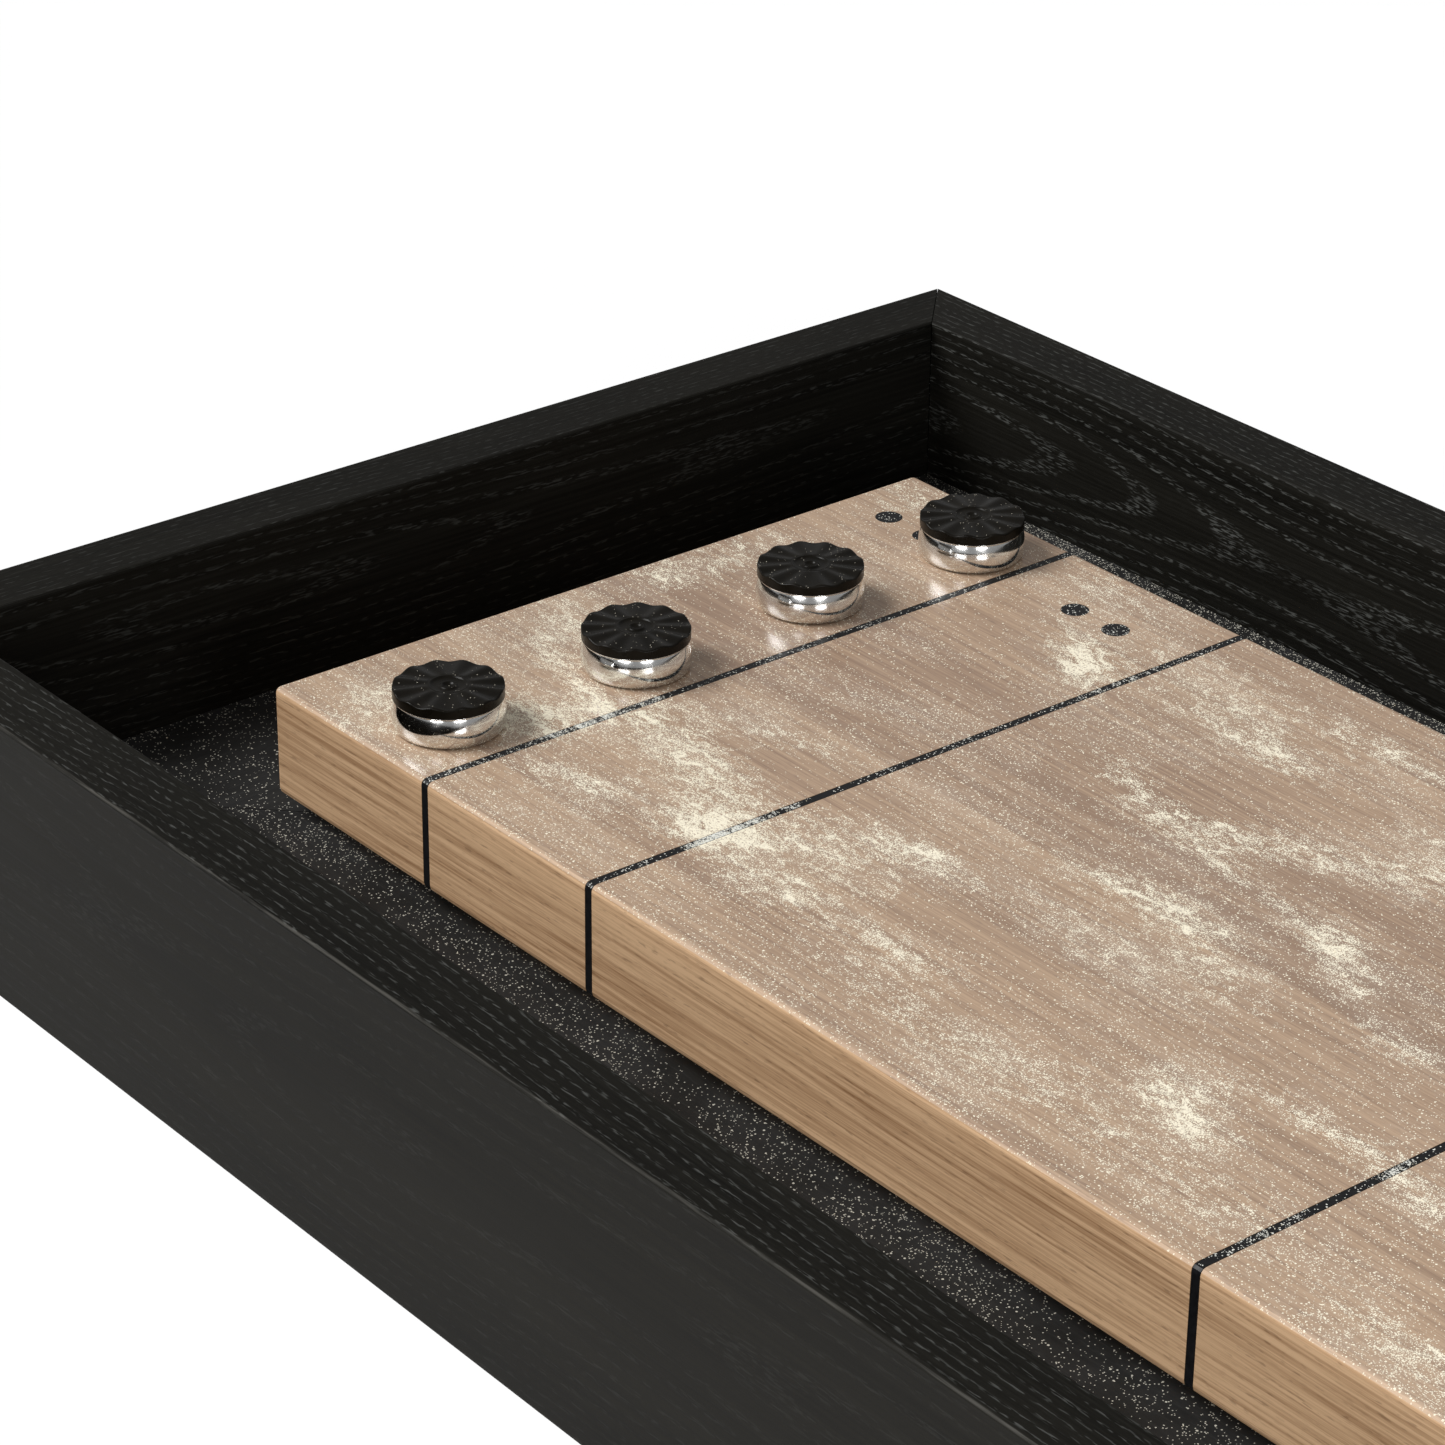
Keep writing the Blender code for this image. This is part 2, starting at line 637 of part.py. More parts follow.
def cap_rings():
    """The plastic cap: a stem and spigot below, a fluted top, a hub ring and a dimple in its middle."""
    seat = WEIGHT_HEIGHT - WEIGHT_SEAT_DEPTH + GAP
    skirt = WEIGHT_HEIGHT + GAP
    return [
        round_ring(CAP_STEM_RADIUS, CAP_STEM_BOTTOM),
        round_ring(CAP_STEM_RADIUS, seat),
        round_ring(CAP_SPIGOT_RADIUS, seat),
        round_ring(CAP_SPIGOT_RADIUS, skirt),
        round_ring(CAP_RADIUS, skirt),
        fluted_ring(CAP_RADIUS, CAP_TOP - 0.0007, 0.0005, CAP_FLUTE_DIP),
        fluted_ring(CAP_RADIUS - 0.0008, CAP_TOP, 0.0005, CAP_FLUTE_DIP),
        fluted_ring(0.75 * CAP_RADIUS, CAP_TOP - 0.0002, 0.0, 0.9 * CAP_FLUTE_DIP),
        round_ring(CAP_HUB_RADIUS + 0.0012, CAP_TOP - 0.0009),
        round_ring(CAP_HUB_RADIUS, CAP_TOP - 0.0001),
        round_ring(CAP_HUB_RADIUS - 0.0012, CAP_TOP - 0.0008),
        round_ring(0.0036, CAP_TOP - 0.0010),
        round_ring(0.0030, CAP_TOP - 0.0020),
    ]


def make_pucks(materials):
    for number, (from_end, from_side, turn) in enumerate(PUCK_PLACES, start=1):
        place = (
            from_end - PLAYFIELD_LENGTH / 2,
            from_side - PLAYFIELD_WIDTH / 2,
            PLAYFIELD_TOP + PUCK_LIFT,
        )
        weight = stacked(weight_rings(), ROUND_SEGMENTS)
        weight = add_object(f"puck_weight_{number}", weight, materials["chrome"], place)
        shade_round(weight)
        cap = stacked(cap_rings(), CAP_SEGMENTS)
        cap = add_object(f"puck_cap_{number}", cap, materials["cap_plastic"], place, turn)
        shade_round(cap)


# ---------------------------------------------------------------- the table


def clear_scene():
    for obj in list(bpy.data.objects):
        bpy.data.objects.remove(obj)


def make_table():
    clear_scene()
    materials = make_materials()
    make_playfield(materials)
    make_cradle(materials)
    make_corner_blocks(materials)
    make_bearers(materials)
    make_adjusters(materials)
    make_base(materials)
    make_pedestal_bolts(materials)
    make_levellers(materials)
    make_pucks(materials)


make_table()
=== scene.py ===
"""Looks of the shuffleboard table: woods, inlays, dusting powder, chrome weights, camera and studio."""

import json
import math

import bmesh
import bpy
import numpy as np
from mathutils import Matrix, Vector


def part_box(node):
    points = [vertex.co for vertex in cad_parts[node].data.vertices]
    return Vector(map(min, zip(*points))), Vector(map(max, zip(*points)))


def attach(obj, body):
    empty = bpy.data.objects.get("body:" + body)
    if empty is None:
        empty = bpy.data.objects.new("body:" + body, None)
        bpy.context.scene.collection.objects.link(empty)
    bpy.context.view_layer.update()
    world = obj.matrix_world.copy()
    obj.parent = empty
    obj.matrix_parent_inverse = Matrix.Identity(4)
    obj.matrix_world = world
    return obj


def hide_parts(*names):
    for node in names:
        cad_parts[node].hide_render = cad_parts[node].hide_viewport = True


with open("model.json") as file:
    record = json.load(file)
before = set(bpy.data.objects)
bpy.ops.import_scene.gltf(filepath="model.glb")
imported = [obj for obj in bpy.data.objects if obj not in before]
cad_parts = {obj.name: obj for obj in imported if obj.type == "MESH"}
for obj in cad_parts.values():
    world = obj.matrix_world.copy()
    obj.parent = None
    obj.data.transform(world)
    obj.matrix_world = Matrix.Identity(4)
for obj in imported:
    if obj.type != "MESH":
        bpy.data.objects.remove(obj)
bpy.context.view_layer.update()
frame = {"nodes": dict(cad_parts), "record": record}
NODES = frame["nodes"]

# Driving places, all read from the frame.
FIELD_LOW, FIELD_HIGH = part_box("playfield")
FIELD_TOP = FIELD_HIGH.z
RAIL_LOW, RAIL_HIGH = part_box("side_rail_far")
RAIL_TOP = RAIL_HIGH.z
RAIL_INNER = RAIL_LOW.y
RAIL_OUTER = RAIL_HIGH.y
END_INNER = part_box("end_rail_right")[0].x
GUTTER_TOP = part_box("gutter_board_near")[1].z

# Colours of the pale oak and of the powder, linear.
OAK_PALE = (0.640, 0.420, 0.245)
OAK_DEEP = (0.300, 0.160, 0.074)
OAK_PORE = (0.150, 0.080, 0.040)
# Painted shade: a greyer, darker tone laid over the playfield's top so that it reads darker than its sides.
OAK_PAINTED_TOP_SHADE = (0.255, 0.215, 0.190)
# Painted highlight: a paler tone for the rounded edge just under the playfield's top.
OAK_PAINTED_ARRIS_HIGHLIGHT = (0.56, 0.42, 0.30)
POWDER_CREAM = (0.90, 0.83, 0.66)
POWDER_HAZE = (0.66, 0.60, 0.53)
GRAIN_CREAM = (0.90, 0.85, 0.70)
GRAIN_TAN = (0.78, 0.70, 0.52)

# Colours of the ebonised oak and of the dust on it, linear.
EBONY = (0.0044, 0.0041, 0.0033)
EBONY_BROWN = (0.0085, 0.0078, 0.0061)
EBONY_FIBRE = (0.017, 0.016, 0.013)
# Painted highlight: a light line for the black rails' top outer edge.
EBONY_PAINTED_EDGE_HIGHLIGHT = (0.110, 0.105, 0.092)
PORE_GREY = (0.095, 0.098, 0.092)
GUTTER_HAZE = (0.40, 0.40, 0.42)
GUTTER_SPECK = (0.52, 0.50, 0.43)

# Colours of the other finishes, linear, as a darker and a lighter one that a cloudy noise mixes.
INLAY_BLACK = (0.0040, 0.0040, 0.0046)
INLAY_MOTTLE = (0.010, 0.010, 0.011)
INLAY_SPECK = (0.72, 0.72, 0.66)
PLY_PALE = (0.66, 0.50, 0.31)
PLY_DARK = (0.48, 0.34, 0.19)
PLY_END_DARK = (0.34, 0.22, 0.12)
PLY_END_PALE = (0.50, 0.35, 0.20)
PAINT_DARK = (0.016, 0.016, 0.017)
PAINT_LIGHT = (0.030, 0.030, 0.031)
ZINC_DARK = (0.56, 0.56, 0.55)
ZINC_LIGHT = (0.68, 0.67, 0.64)
RUBBER_DARK = (0.018, 0.018, 0.018)
RUBBER_LIGHT = (0.034, 0.033, 0.032)
CHROME_BRIGHT = (0.83, 0.83, 0.82)
CHROME_DULL = (0.74, 0.74, 0.73)
CAP_DARK = (0.0034, 0.0028, 0.0018)
CAP_LIGHT = (0.0072, 0.0058, 0.0038)
CAP_SPECK = (0.50, 0.46, 0.38)
FLOOR_DARK = (0.96, 0.96, 0.96)
FLOOR_LIGHT = (0.98, 0.98, 0.98)

# Growth rings: how far apart they are, and how far they sway across and upward. Then one pair of plies.
PALE_RING_SPACING = 0.0042
BLACK_RING_SPACING = 0.0037
RING_SWAY_ACROSS = 0.075
RING_SWAY_UP = 0.060
PLY_PAIR = 0.0028

# Cells that hold one speck each.
FINE_CELL = 0.00080
COARSE_CELL = 0.00135
GUTTER_FINE_CELL = 0.00100
GUTTER_COARSE_CELL = 0.00210
CAP_CELL = 0.0008

# Staves glued side by side: where each starts across the width, from 0 at the near side to 1,
# and its darkness.
STAVES = (
    (0.00, 0.34), (0.09, 0.46), (0.17, 0.36), (0.27, 0.50), (0.345, 0.40), (0.44, 0.92),
    (0.565, 0.78), (0.69, 0.56), (0.79, 0.40), (0.89, 0.52),
)

# Drifts of powder: along from the left end, across from the near side, half length and half width in
# metres, turn in degrees, amount.
DRIFTS = (
    (0.018, 0.262, 0.020, 0.030, 0, 0.90),
    (0.016, 0.222, 0.016, 0.014, 20, 0.95),
    (0.034, 0.150, 0.036, 0.020, -35, 1.05),
    (0.047, 0.028, 0.030, 0.018, -40, 1.10),
    (0.071, 0.120, 0.022, 0.008, -10, 0.95),
    (0.025, 0.385, 0.026, 0.020, 0, 0.80),
    (0.104, 0.082, 0.024, 0.018, 30, 1.45),
    (0.108, 0.112, 0.017, 0.006, -10, 0.95),
    (0.150, 0.048, 0.062, 0.030, 0, 0.45),
    (0.169, 0.058, 0.022, 0.008, 10, 0.85),
    (0.150, 0.116, 0.042, 0.018, -5, 1.05),
    (0.185, 0.155, 0.046, 0.011, 18, 0.80),
    (0.212, 0.100, 0.038, 0.022, -20, 1.00),
    (0.242, 0.070, 0.022, 0.014, 15, 1.15),
    (0.283, 0.098, 0.046, 0.026, 15, 1.05),
    (0.305, 0.062, 0.034, 0.012, 12, 1.00),
    (0.320, 0.134, 0.034, 0.009, 5, 1.10),
    (0.378, 0.068, 0.028, 0.011, 0, 1.00),
    (0.400, 0.036, 0.050, 0.016, 0, 0.66),
    (0.400, 0.184, 0.050, 0.012, 10, 1.10),
    (0.460, 0.172, 0.042, 0.014, -15, 0.95),
    (0.430, 0.143, 0.050, 0.014, 0, 0.74),
    (0.325, 0.256, 0.030, 0.012, -15, 1.05),
    (0.385, 0.250, 0.042, 0.014, 20, 1.10),
    (0.455, 0.285, 0.052, 0.014, 22, 0.95),
    (0.412, 0.231, 0.026, 0.008, -5, 1.15),
    (0.478, 0.224, 0.024, 0.012, 0, 1.05),
    (0.508, 0.205, 0.026, 0.010, -28, 1.15),
    (0.208, 0.333, 0.024, 0.015, -20, 1.20),
    (0.228, 0.312, 0.022, 0.012, -30, 1.05),
    (0.300, 0.350, 0.062, 0.028, 0, 0.82),
    (0.345, 0.326, 0.034, 0.010, -5, 0.95),
    (0.385, 0.370, 0.032, 0.009, -5, 1.05),
    (0.460, 0.316, 0.022, 0.012, -25, 0.90),
    (0.165, 0.388, 0.042, 0.016, 0, 0.80),
    (0.536, 0.080, 0.018, 0.014, -20, 1.45),
    (0.562, 0.069, 0.015, 0.009, 0, 1.20),
    (0.490, 0.040, 0.052, 0.020, 0, 0.80),
    (0.600, 0.036, 0.046, 0.020, 0, 0.66),
    (0.570, 0.180, 0.024, 0.009, 0, 1.00),
    (0.585, 0.110, 0.052, 0.009, 4, 1.05),
    (0.655, 0.100, 0.036, 0.011, -8, 0.90),
    (0.715, 0.022, 0.036, 0.014, -5, 1.00),
)
DRIFT_REACH = 1.8
DRIFT_HEIGHT = 1.4

# Camera, at the height of someone standing by the near side.
CAMERA_PLACE = (0.400745, -1.245638, 1.734271)
CAMERA_TURN = (62.9951, -0.4467, 51.0640)
CAMERA_LENS = 111.476
CAMERA_SENSOR = 36.0

# Light: a white surrounding, the share of it that lights the table, a soft sun, and two lamps in front
# that make the gleams on the chrome.
WORLD_STRENGTH = 0.30
KEY_BEARING = -129.0
KEY_ELEVATION = 46.0
KEY_STRENGTH = 3.3
KEY_SPREAD = 34.0
LAMP_TARGET = Vector((FIELD_LOW.x + 0.3, 0.0, FIELD_TOP))
# Each lamp: name, bearing from +X, elevation, distance, width, height, power in watts.
LAMPS = (
    ("front_left", -66.0, 12.0, 3.0, 1.30, 0.45, 16.0),
    ("front_right", -18.0, 12.0, 3.0, 1.30, 0.45, 16.0),
)
FLOOR_HALF = 30.0
FLOOR_HEIGHT = -0.001


class Graph:
    """One material's nodes, with short calls that add a node, join it and hand back its output."""

    def __init__(self, name):
        self.material = bpy.data.materials.new(name)
        self.material.use_nodes = True
        self.tree = self.material.node_tree
        self.tree.nodes.clear()

    def set(self, socket, value):
        if isinstance(value, bpy.types.NodeSocket):
            self.tree.links.new(value, socket)
        elif isinstance(value, (tuple, list)) and socket.type == "RGBA":
            socket.default_value = (*value[:3], 1.0)
        else:
            socket.default_value = value

    def add(self, kind, inputs=None, **settings):
        node = self.tree.nodes.new("ShaderNode" + kind)
        for name, value in settings.items():
            setattr(node, name, value)
        for name, value in (inputs or {}).items():
            self.set(node.inputs[name], value)
        return node

    def place(self):
        return self.add("TexCoord").outputs["Object"]

    def split(self, vector):
        return self.add("SeparateXYZ", {0: vector}).outputs

    def join(self, x, y, z):
        return self.add("CombineXYZ", {0: x, 1: y, 2: z}).outputs[0]

    def math(self, operation, a, b=0.0, c=0.0, clamp=False):
        return self.add("Math", {0: a, 1: b, 2: c}, operation=operation, use_clamp=clamp).outputs[0]

    def vector(self, operation, a, b):
        return self.add("VectorMath", {0: a, 1: b}, operation=operation).outputs[0]

    def spread(self, value, low, high, to_low=0.0, to_high=1.0, smooth=False):
        """Maps low..high onto to_low..to_high, held at both ends."""
        kind = "SMOOTHSTEP" if smooth else "LINEAR"
        inputs = {"Value": value, "From Min": low, "From Max": high, "To Min": to_low, "To Max": to_high}
        return self.add("MapRange", inputs, interpolation_type=kind, clamp=True).outputs[0]

    def blend(self, share, a, b):
        """Mixes two colours: a where share is 0, b where it is 1."""
        node = self.add("Mix", data_type="RGBA")
        self.set(node.inputs[0], share)
        self.set(node.inputs[6], a)
        self.set(node.inputs[7], b)
        return node.outputs[2]

    def noise(self, vector, scale, detail=2.0, roughness=0.5, distortion=0.0, output="Fac"):
        inputs = {"Vector": vector, "Scale": scale, "Detail": detail, "Roughness": roughness,
                  "Distortion": distortion}
        return self.add("TexNoise", inputs).outputs[output]

    def bump(self, height, strength, distance, normal=None):
        inputs = {"Height": height, "Strength": strength, "Distance": distance}
        if normal is not None:
            inputs["Normal"] = normal
        return self.add("Bump", inputs).outputs[0]

    def finish(self, **sockets):
        inputs = {name.replace("_", " "): value for name, value in sockets.items()}
        shader = self.add("BsdfPrincipled", inputs)
        self.add("OutputMaterial", {0: shader.outputs[0]})
        return self.material


def facing_up(g, none=0.45, full=0.85):
    """1 on faces that look up, 0 on the rest, eased between two upward shares of the normal."""
    normal = g.add("NewGeometry").outputs["Normal"]
    return g.spread(g.split(normal)[2], none, full, smooth=True)


def drift_field(g, place):
    """How much powder lies on the playfield: listed drifts at the left end, loose ones beyond."""
    x, y, _ = g.split(place)
    flat = g.join(x, y, 0.0)
    total = 0.0
    for along, across, half_long, half_wide, turn, amount in DRIFTS:
        cone = g.add("TexGradient", {"Vector": flat}, gradient_type="SPHERICAL")
        cone.texture_mapping.vector_type = "TEXTURE"
        cone.texture_mapping.translation = (FIELD_LOW.x + along, FIELD_LOW.y + across, 0.0)
        cone.texture_mapping.rotation = (0.0, 0.0, math.radians(turn))
        cone.texture_mapping.scale = (half_long * DRIFT_REACH, half_wide * DRIFT_REACH, 1.0)
        total = g.math("MULTIPLY_ADD", cone.outputs["Fac"], amount * DRIFT_HEIGHT, total)
    stretched = g.vector("MULTIPLY", place, (5.0, 16.0, 1.0))
    loose = g.spread(g.noise(stretched, 1.0, 3.0, 0.6), 0.53, 0.75, 0.0, 0.95)
    beyond = g.spread(x, FIELD_LOW.x + 0.70, FIELD_LOW.x + 0.95, 0.12, 1.0)
    return g.math("ADD", total, g.math("MULTIPLY", loose, beyond))


def speckles(g, place, size, share, reach):
    """Round specks in cells of one size. share is how many cells hold one, reach how wide it grows."""
    flat = g.vector("MULTIPLY", place, (1.0, 1.0, 0.0))
    cells = g.add("TexVoronoi", {"Vector": flat, "Scale": 1.0 / size, "Randomness": 1.0},
                  voronoi_dimensions="2D")
    chance = g.split(cells.outputs["Color"])
    held = g.math("LESS_THAN", chance[0], share)
    radius = g.math("MULTIPLY_ADD", chance[1], reach * 0.6, reach * 0.45)
    near = g.math("LESS_THAN", cells.outputs["Distance"], radius)
    return g.math("MULTIPLY", held, near)


def playfield_powder(g, place):
    """Powder on the playfield's upper face: (grains and clumps, thin haze, how far a face looks up)."""
    up = facing_up(g)
    field = drift_field(g, place)
    swept = g.vector("MULTIPLY", place, (1.0, 1.7, 1.0))
    ragged = g.noise(swept, 90.0, 8.0, 0.76, 0.6)
    broad = g.noise(g.vector("MULTIPLY", place, (11.0, 26.0, 1.0)), 1.0, 4.0, 0.65)
    lump = g.math("MULTIPLY_ADD", g.math("SUBTRACT", ragged, 0.5), 2.1, g.math("MULTIPLY", field, 0.26))
    inside = g.spread(field, 0.08, 0.35)
    film = g.math("MULTIPLY", g.spread(lump, 0.45, 0.51, smooth=True), inside)
    grain = g.noise(place, 1000.0, 1.0, 0.5)
    film = g.math("MULTIPLY", film, g.spread(grain, 0.36, 0.50, 0.10, 1.0))
    halo = g.math("MULTIPLY", g.spread(lump, 0.16, 0.44, 0.0, 0.85), inside)
    share = g.math("MULTIPLY_ADD", g.spread(broad, 0.38, 0.64), 0.19, 0.02)
    share = g.math("ADD", share, halo)
    edge = g.spread(g.split(place)[1], FIELD_LOW.y + 0.13, FIELD_LOW.y + 0.02, 0.0, 0.06)
    share = g.math("ADD", share, edge)
    fine = speckles(g, place, FINE_CELL, share, 0.46)
    coarse = speckles(g, place, COARSE_CELL, g.math("MULTIPLY", share, 0.42), 0.38)
    grains = g.math("MAXIMUM", film, g.math("MAXIMUM", fine, coarse))
    haze = g.spread(g.math("ADD", g.math("MULTIPLY", lump, 0.5), broad), 0.45, 0.95, 0.02, 0.24)
    return g.math("MULTIPLY", grains, up), g.math("MULTIPLY", haze, up), up


def ringed_wood(g, place, pith, spacing, seed):
    """Oak sawn along X: (open-pored part of each growth ring, pore dashes, fibres)."""
    shifted = g.vector("ADD", place, (seed, 0.0, 0.0))
    sway = g.noise(g.vector("MULTIPLY", shifted, (1.7, 3.0, 3.0)), 1.0, 1.0, 0.4, output="Color")
    sway = g.split(g.vector("SUBTRACT", sway, (0.5, 0.5, 0.5)))
    _, y, z = g.split(place)
    across = g.math("ADD", g.math("SUBTRACT", y, pith[0]), g.math("MULTIPLY", sway[1], RING_SWAY_ACROSS))
    upward = g.math("ADD", g.math("SUBTRACT", z, pith[1]), g.math("MULTIPLY", sway[2], RING_SWAY_UP))
    squares = g.math("ADD", g.math("MULTIPLY", across, across), g.math("MULTIPLY", upward, upward))
    ring = g.math("SQRT", squares)
    ripple = g.noise(g.vector("MULTIPLY", shifted, (9.0, 60.0, 60.0)), 1.0, 2.0, 0.5)
    ring = g.math("ADD", g.math("DIVIDE", ring, spacing), g.math("MULTIPLY", ripple, 0.45))
    phase = g.math("FRACT", ring)
    early = g.math("MULTIPLY", g.spread(phase, 0.0, 0.08), g.spread(phase, 0.42, 0.26))
    dashes = g.noise(g.vector("MULTIPLY", shifted, (170.0, 1050.0, 1050.0)), 1.0, 1.0, 0.4)
    fibres = g.noise(g.vector("MULTIPLY", shifted, (4.0, 520.0, 520.0)), 1.0, 4.0, 0.74)
    return early, dashes, fibres


def natural_oak():
    """Pale lacquered oak staves with powder on top."""
    g = Graph("natural_oak_lacquered")
    place = g.place()
    _, y, z = g.split(place)
    share = g.spread(y, FIELD_LOW.y, FIELD_HIGH.y)
    ramp = g.add("ValToRGB", {0: share})
    ramp.color_ramp.interpolation = "CONSTANT"
    stops = ramp.color_ramp.elements
    for index, (start, tone) in enumerate(STAVES):
        stop = stops[index] if index < 2 else stops.new(start)
        stop.position = start
        stop.color = (tone, (index * 0.37) % 1.0, 0.0, 1.0)
    tone, own, _ = g.split(ramp.outputs[0])
    apart = g.join(g.math("MULTIPLY", own, 9.0), 0.0, g.math("MULTIPLY", own, 1.3))
    wood_place = g.vector("ADD", place, apart)
    pith = (FIELD_LOW.y - 0.09, FIELD_TOP - 0.10)
    early, dashes, fibres = ringed_wood(g, wood_place, pith, PALE_RING_SPACING, 1.3)
    broad = g.noise(g.vector("MULTIPLY", wood_place, (2.6, 34.0, 34.0)), 1.0, 3.0, 0.55)
    depth = g.math("MULTIPLY_ADD", g.math("SUBTRACT", tone, 0.5), 0.85, 0.37)
    depth = g.math("ADD", depth, g.spread(broad, 0.3, 0.7, -0.20, 0.26))
    depth = g.math("ADD", depth, g.spread(fibres, 0.37, 0.63, -0.26, 0.30))
    threads = g.noise(g.vector("MULTIPLY", wood_place, (15.0, 760.0, 760.0)), 1.0, 2.0, 0.6)
    depth = g.math("ADD", depth, g.spread(threads, 0.38, 0.62, -0.22, 0.28))
    depth = g.math("ADD", depth, g.spread(early, 0.0, 1.0, -0.03, 0.12), clamp=True)
    colour = g.blend(depth, OAK_PALE, OAK_DEEP)
    pores = g.math("MULTIPLY", g.spread(dashes, 0.60, 0.70), g.spread(early, 0.0, 1.0, 0.35, 1.0))
    colour = g.blend(g.math("MULTIPLY", pores, 0.42), colour, OAK_PORE)
    grains, haze, up = playfield_powder(g, place)
    # Painted shade: faces that look up are blended towards a greyer, darker tone.
    painted_top_shade = g.blend(g.math("MULTIPLY", up, 0.45), colour, OAK_PAINTED_TOP_SHADE)
    colour = g.blend(haze, painted_top_shade, POWDER_HAZE)
    # Painted highlight: a paler line on the rounded edge just under the top, on faces that don't look up.
    arris = g.spread(z, FIELD_TOP - 0.0018, FIELD_TOP - 0.0006)
    painted_edge_highlight = g.math("MULTIPLY", arris, g.math("SUBTRACT", 1.0, up))
    colour = g.blend(g.math("MULTIPLY", painted_edge_highlight, 0.15), colour, OAK_PAINTED_ARRIS_HIGHLIGHT)
    colour = g.blend(grains, colour, POWDER_CREAM)
    gloss = g.spread(facing_up(g, 0.97, 0.998), 0.0, 1.0, 0.55, 0.20)
    rough = g.math("MULTIPLY_ADD", grains, 0.50, gloss)
    rough = g.math("MULTIPLY_ADD", haze, 0.15, rough)
    normal = g.bump(g.math("MULTIPLY_ADD", pores, -1.0, fibres), 0.10, 0.0003)
    normal = g.bump(grains, 0.55, 0.0005, normal)
    return g.finish(Base_Color=colour, Roughness=rough, Normal=normal, Specular_IOR_Level=0.4)


def black_oak(name, grain, pith, seed, dusty, open_pores):
    """Ebonised open-pore oak. Its fibres follow grain: x along the table, y across it, z upright.

    pith is where the rings' middle lies, across and upward, and how far out the flat outer face is.
    """
    g = Graph(name)
    place = g.place()
    x, y, z = g.split(place)
    along, across, rest = {"x": (x, y, z), "y": (y, x, z), "z": (z, y, g.math("ABSOLUTE", x))}[grain]
    wood_place = g.join(along, g.math("ABSOLUTE", across), rest)
    side = g.math("MULTIPLY", g.math("SIGN", across), 1.9)
    wood_place = g.vector("ADD", wood_place, g.join(side, 0.0, 0.0))
    early, dashes, fibres = ringed_wood(g, wood_place, pith, BLACK_RING_SPACING, seed)
    pores = g.math("MULTIPLY", g.spread(dashes, 0.50, 0.62), g.spread(early, 0.0, 0.8, 0.03, 1.0))
    fleck = g.noise(g.vector("MULTIPLY", wood_place, (28.0, 700.0, 700.0)), 1.0, 2.0, 0.6)
    pores = g.math("MULTIPLY", pores, g.spread(fleck, 0.38, 0.60, 0.20, 1.0))
    outside = g.spread(g.math("ABSOLUTE", across), pith[2] - 0.0010, pith[2] - 0.0004, 1.0, 0.10)
    pores = g.math("MULTIPLY", pores, g.math("MULTIPLY", outside, open_pores))
    pores = g.math("MULTIPLY", pores, g.spread(facing_up(g), 0.0, 1.0, 1.0, 0.77))
    broad = g.noise(g.vector("MULTIPLY", wood_place, (3.0, 24.0, 24.0)), 1.0, 3.0, 0.6)
    colour = g.blend(g.spread(broad, 0.3, 0.7), EBONY, EBONY_BROWN)
    colour = g.blend(g.spread(fibres, 0.42, 0.68, 0.0, 0.55), colour, EBONY_FIBRE)
    colour = g.blend(pores, colour, PORE_GREY)
    height = g.math("MULTIPLY_ADD", pores, -1.0, g.math("MULTIPLY", fibres, 0.4))
    rough = g.spread(fibres, 0.3, 0.7, 0.42, 0.60)
    normal = g.bump(height, 0.35, 0.0004)
    if dusty:
        up = facing_up(g)
        broad_dust = g.noise(place, 14.0, 3.0, 0.6)
        edge_gap = g.math("SUBTRACT", RAIL_INNER, g.math("ABSOLUTE", y))
        end_gap = g.math("SUBTRACT", END_INNER, g.math("ABSOLUTE", x))
        foot = g.spread(g.math("MINIMUM", edge_gap, end_gap), 0.014, 0.0, 0.0, 0.22)
        much = g.math("ADD", g.spread(broad_dust, 0.35, 0.70, 0.05, 0.26), foot)
        fine = speckles(g, place, GUTTER_FINE_CELL, g.math("MULTIPLY", much, dusty), 0.36)
        coarse = speckles(g, place, GUTTER_COARSE_CELL, g.math("MULTIPLY", much, dusty * 0.55), 0.26)
        grains = g.math("MULTIPLY", g.math("MAXIMUM", fine, coarse), up)
        haze = g.math("MULTIPLY", g.spread(broad_dust, 0.35, 0.75, 0.02, 0.07), up)
        colour = g.blend(haze, colour, GUTTER_HAZE)
        colour = g.blend(grains, colour, GUTTER_SPECK)
        rough = g.math("MAXIMUM", rough, g.math("MULTIPLY", grains, 0.9))
    else:
        # Painted highlight: a light line, broken up by a fleck noise, along the top outer edge of pieces
        # with an outer face.
        outer_gap = g.math("ABSOLUTE", g.math("SUBTRACT", g.math("ABSOLUTE", across), pith[2]))
        edge = g.math("MULTIPLY", g.spread(z, RAIL_TOP - 0.0014, RAIL_TOP - 0.0004),
                      g.spread(outer_gap, 0.0015, 0.0004))
        painted_edge_highlight = g.math("MULTIPLY", edge, g.spread(fleck, 0.45, 0.62, 0.05, 0.55))
        colour = g.blend(painted_edge_highlight, colour, EBONY_PAINTED_EDGE_HIGHLIGHT)
    return g.finish(Base_Color=colour, Roughness=rough, Normal=normal, Specular_IOR_Level=0.055)


def black_inlay():
    g = Graph("black_inlay_dusted")
    place = g.place()
    grains, haze, _ = playfield_powder(g, place)
    mottle = g.noise(place, 420.0, 3.0, 0.6)
    colour = g.blend(g.spread(mottle, 0.3, 0.7), INLAY_BLACK, INLAY_MOTTLE)
    colour = g.blend(g.math("MULTIPLY", haze, 0.05), colour, POWDER_HAZE)
    colour = g.blend(grains, colour, INLAY_SPECK)
    rough = g.math("MULTIPLY_ADD", grains, 0.5, g.spread(mottle, 0.3, 0.7, 0.30, 0.42))
    normal = g.bump(g.math("ADD", grains, g.math("MULTIPLY", mottle, 0.1)), 0.4, 0.0004)
    return g.finish(Base_Color=colour, Roughness=rough, Normal=normal, Specular_IOR_Level=0.18)


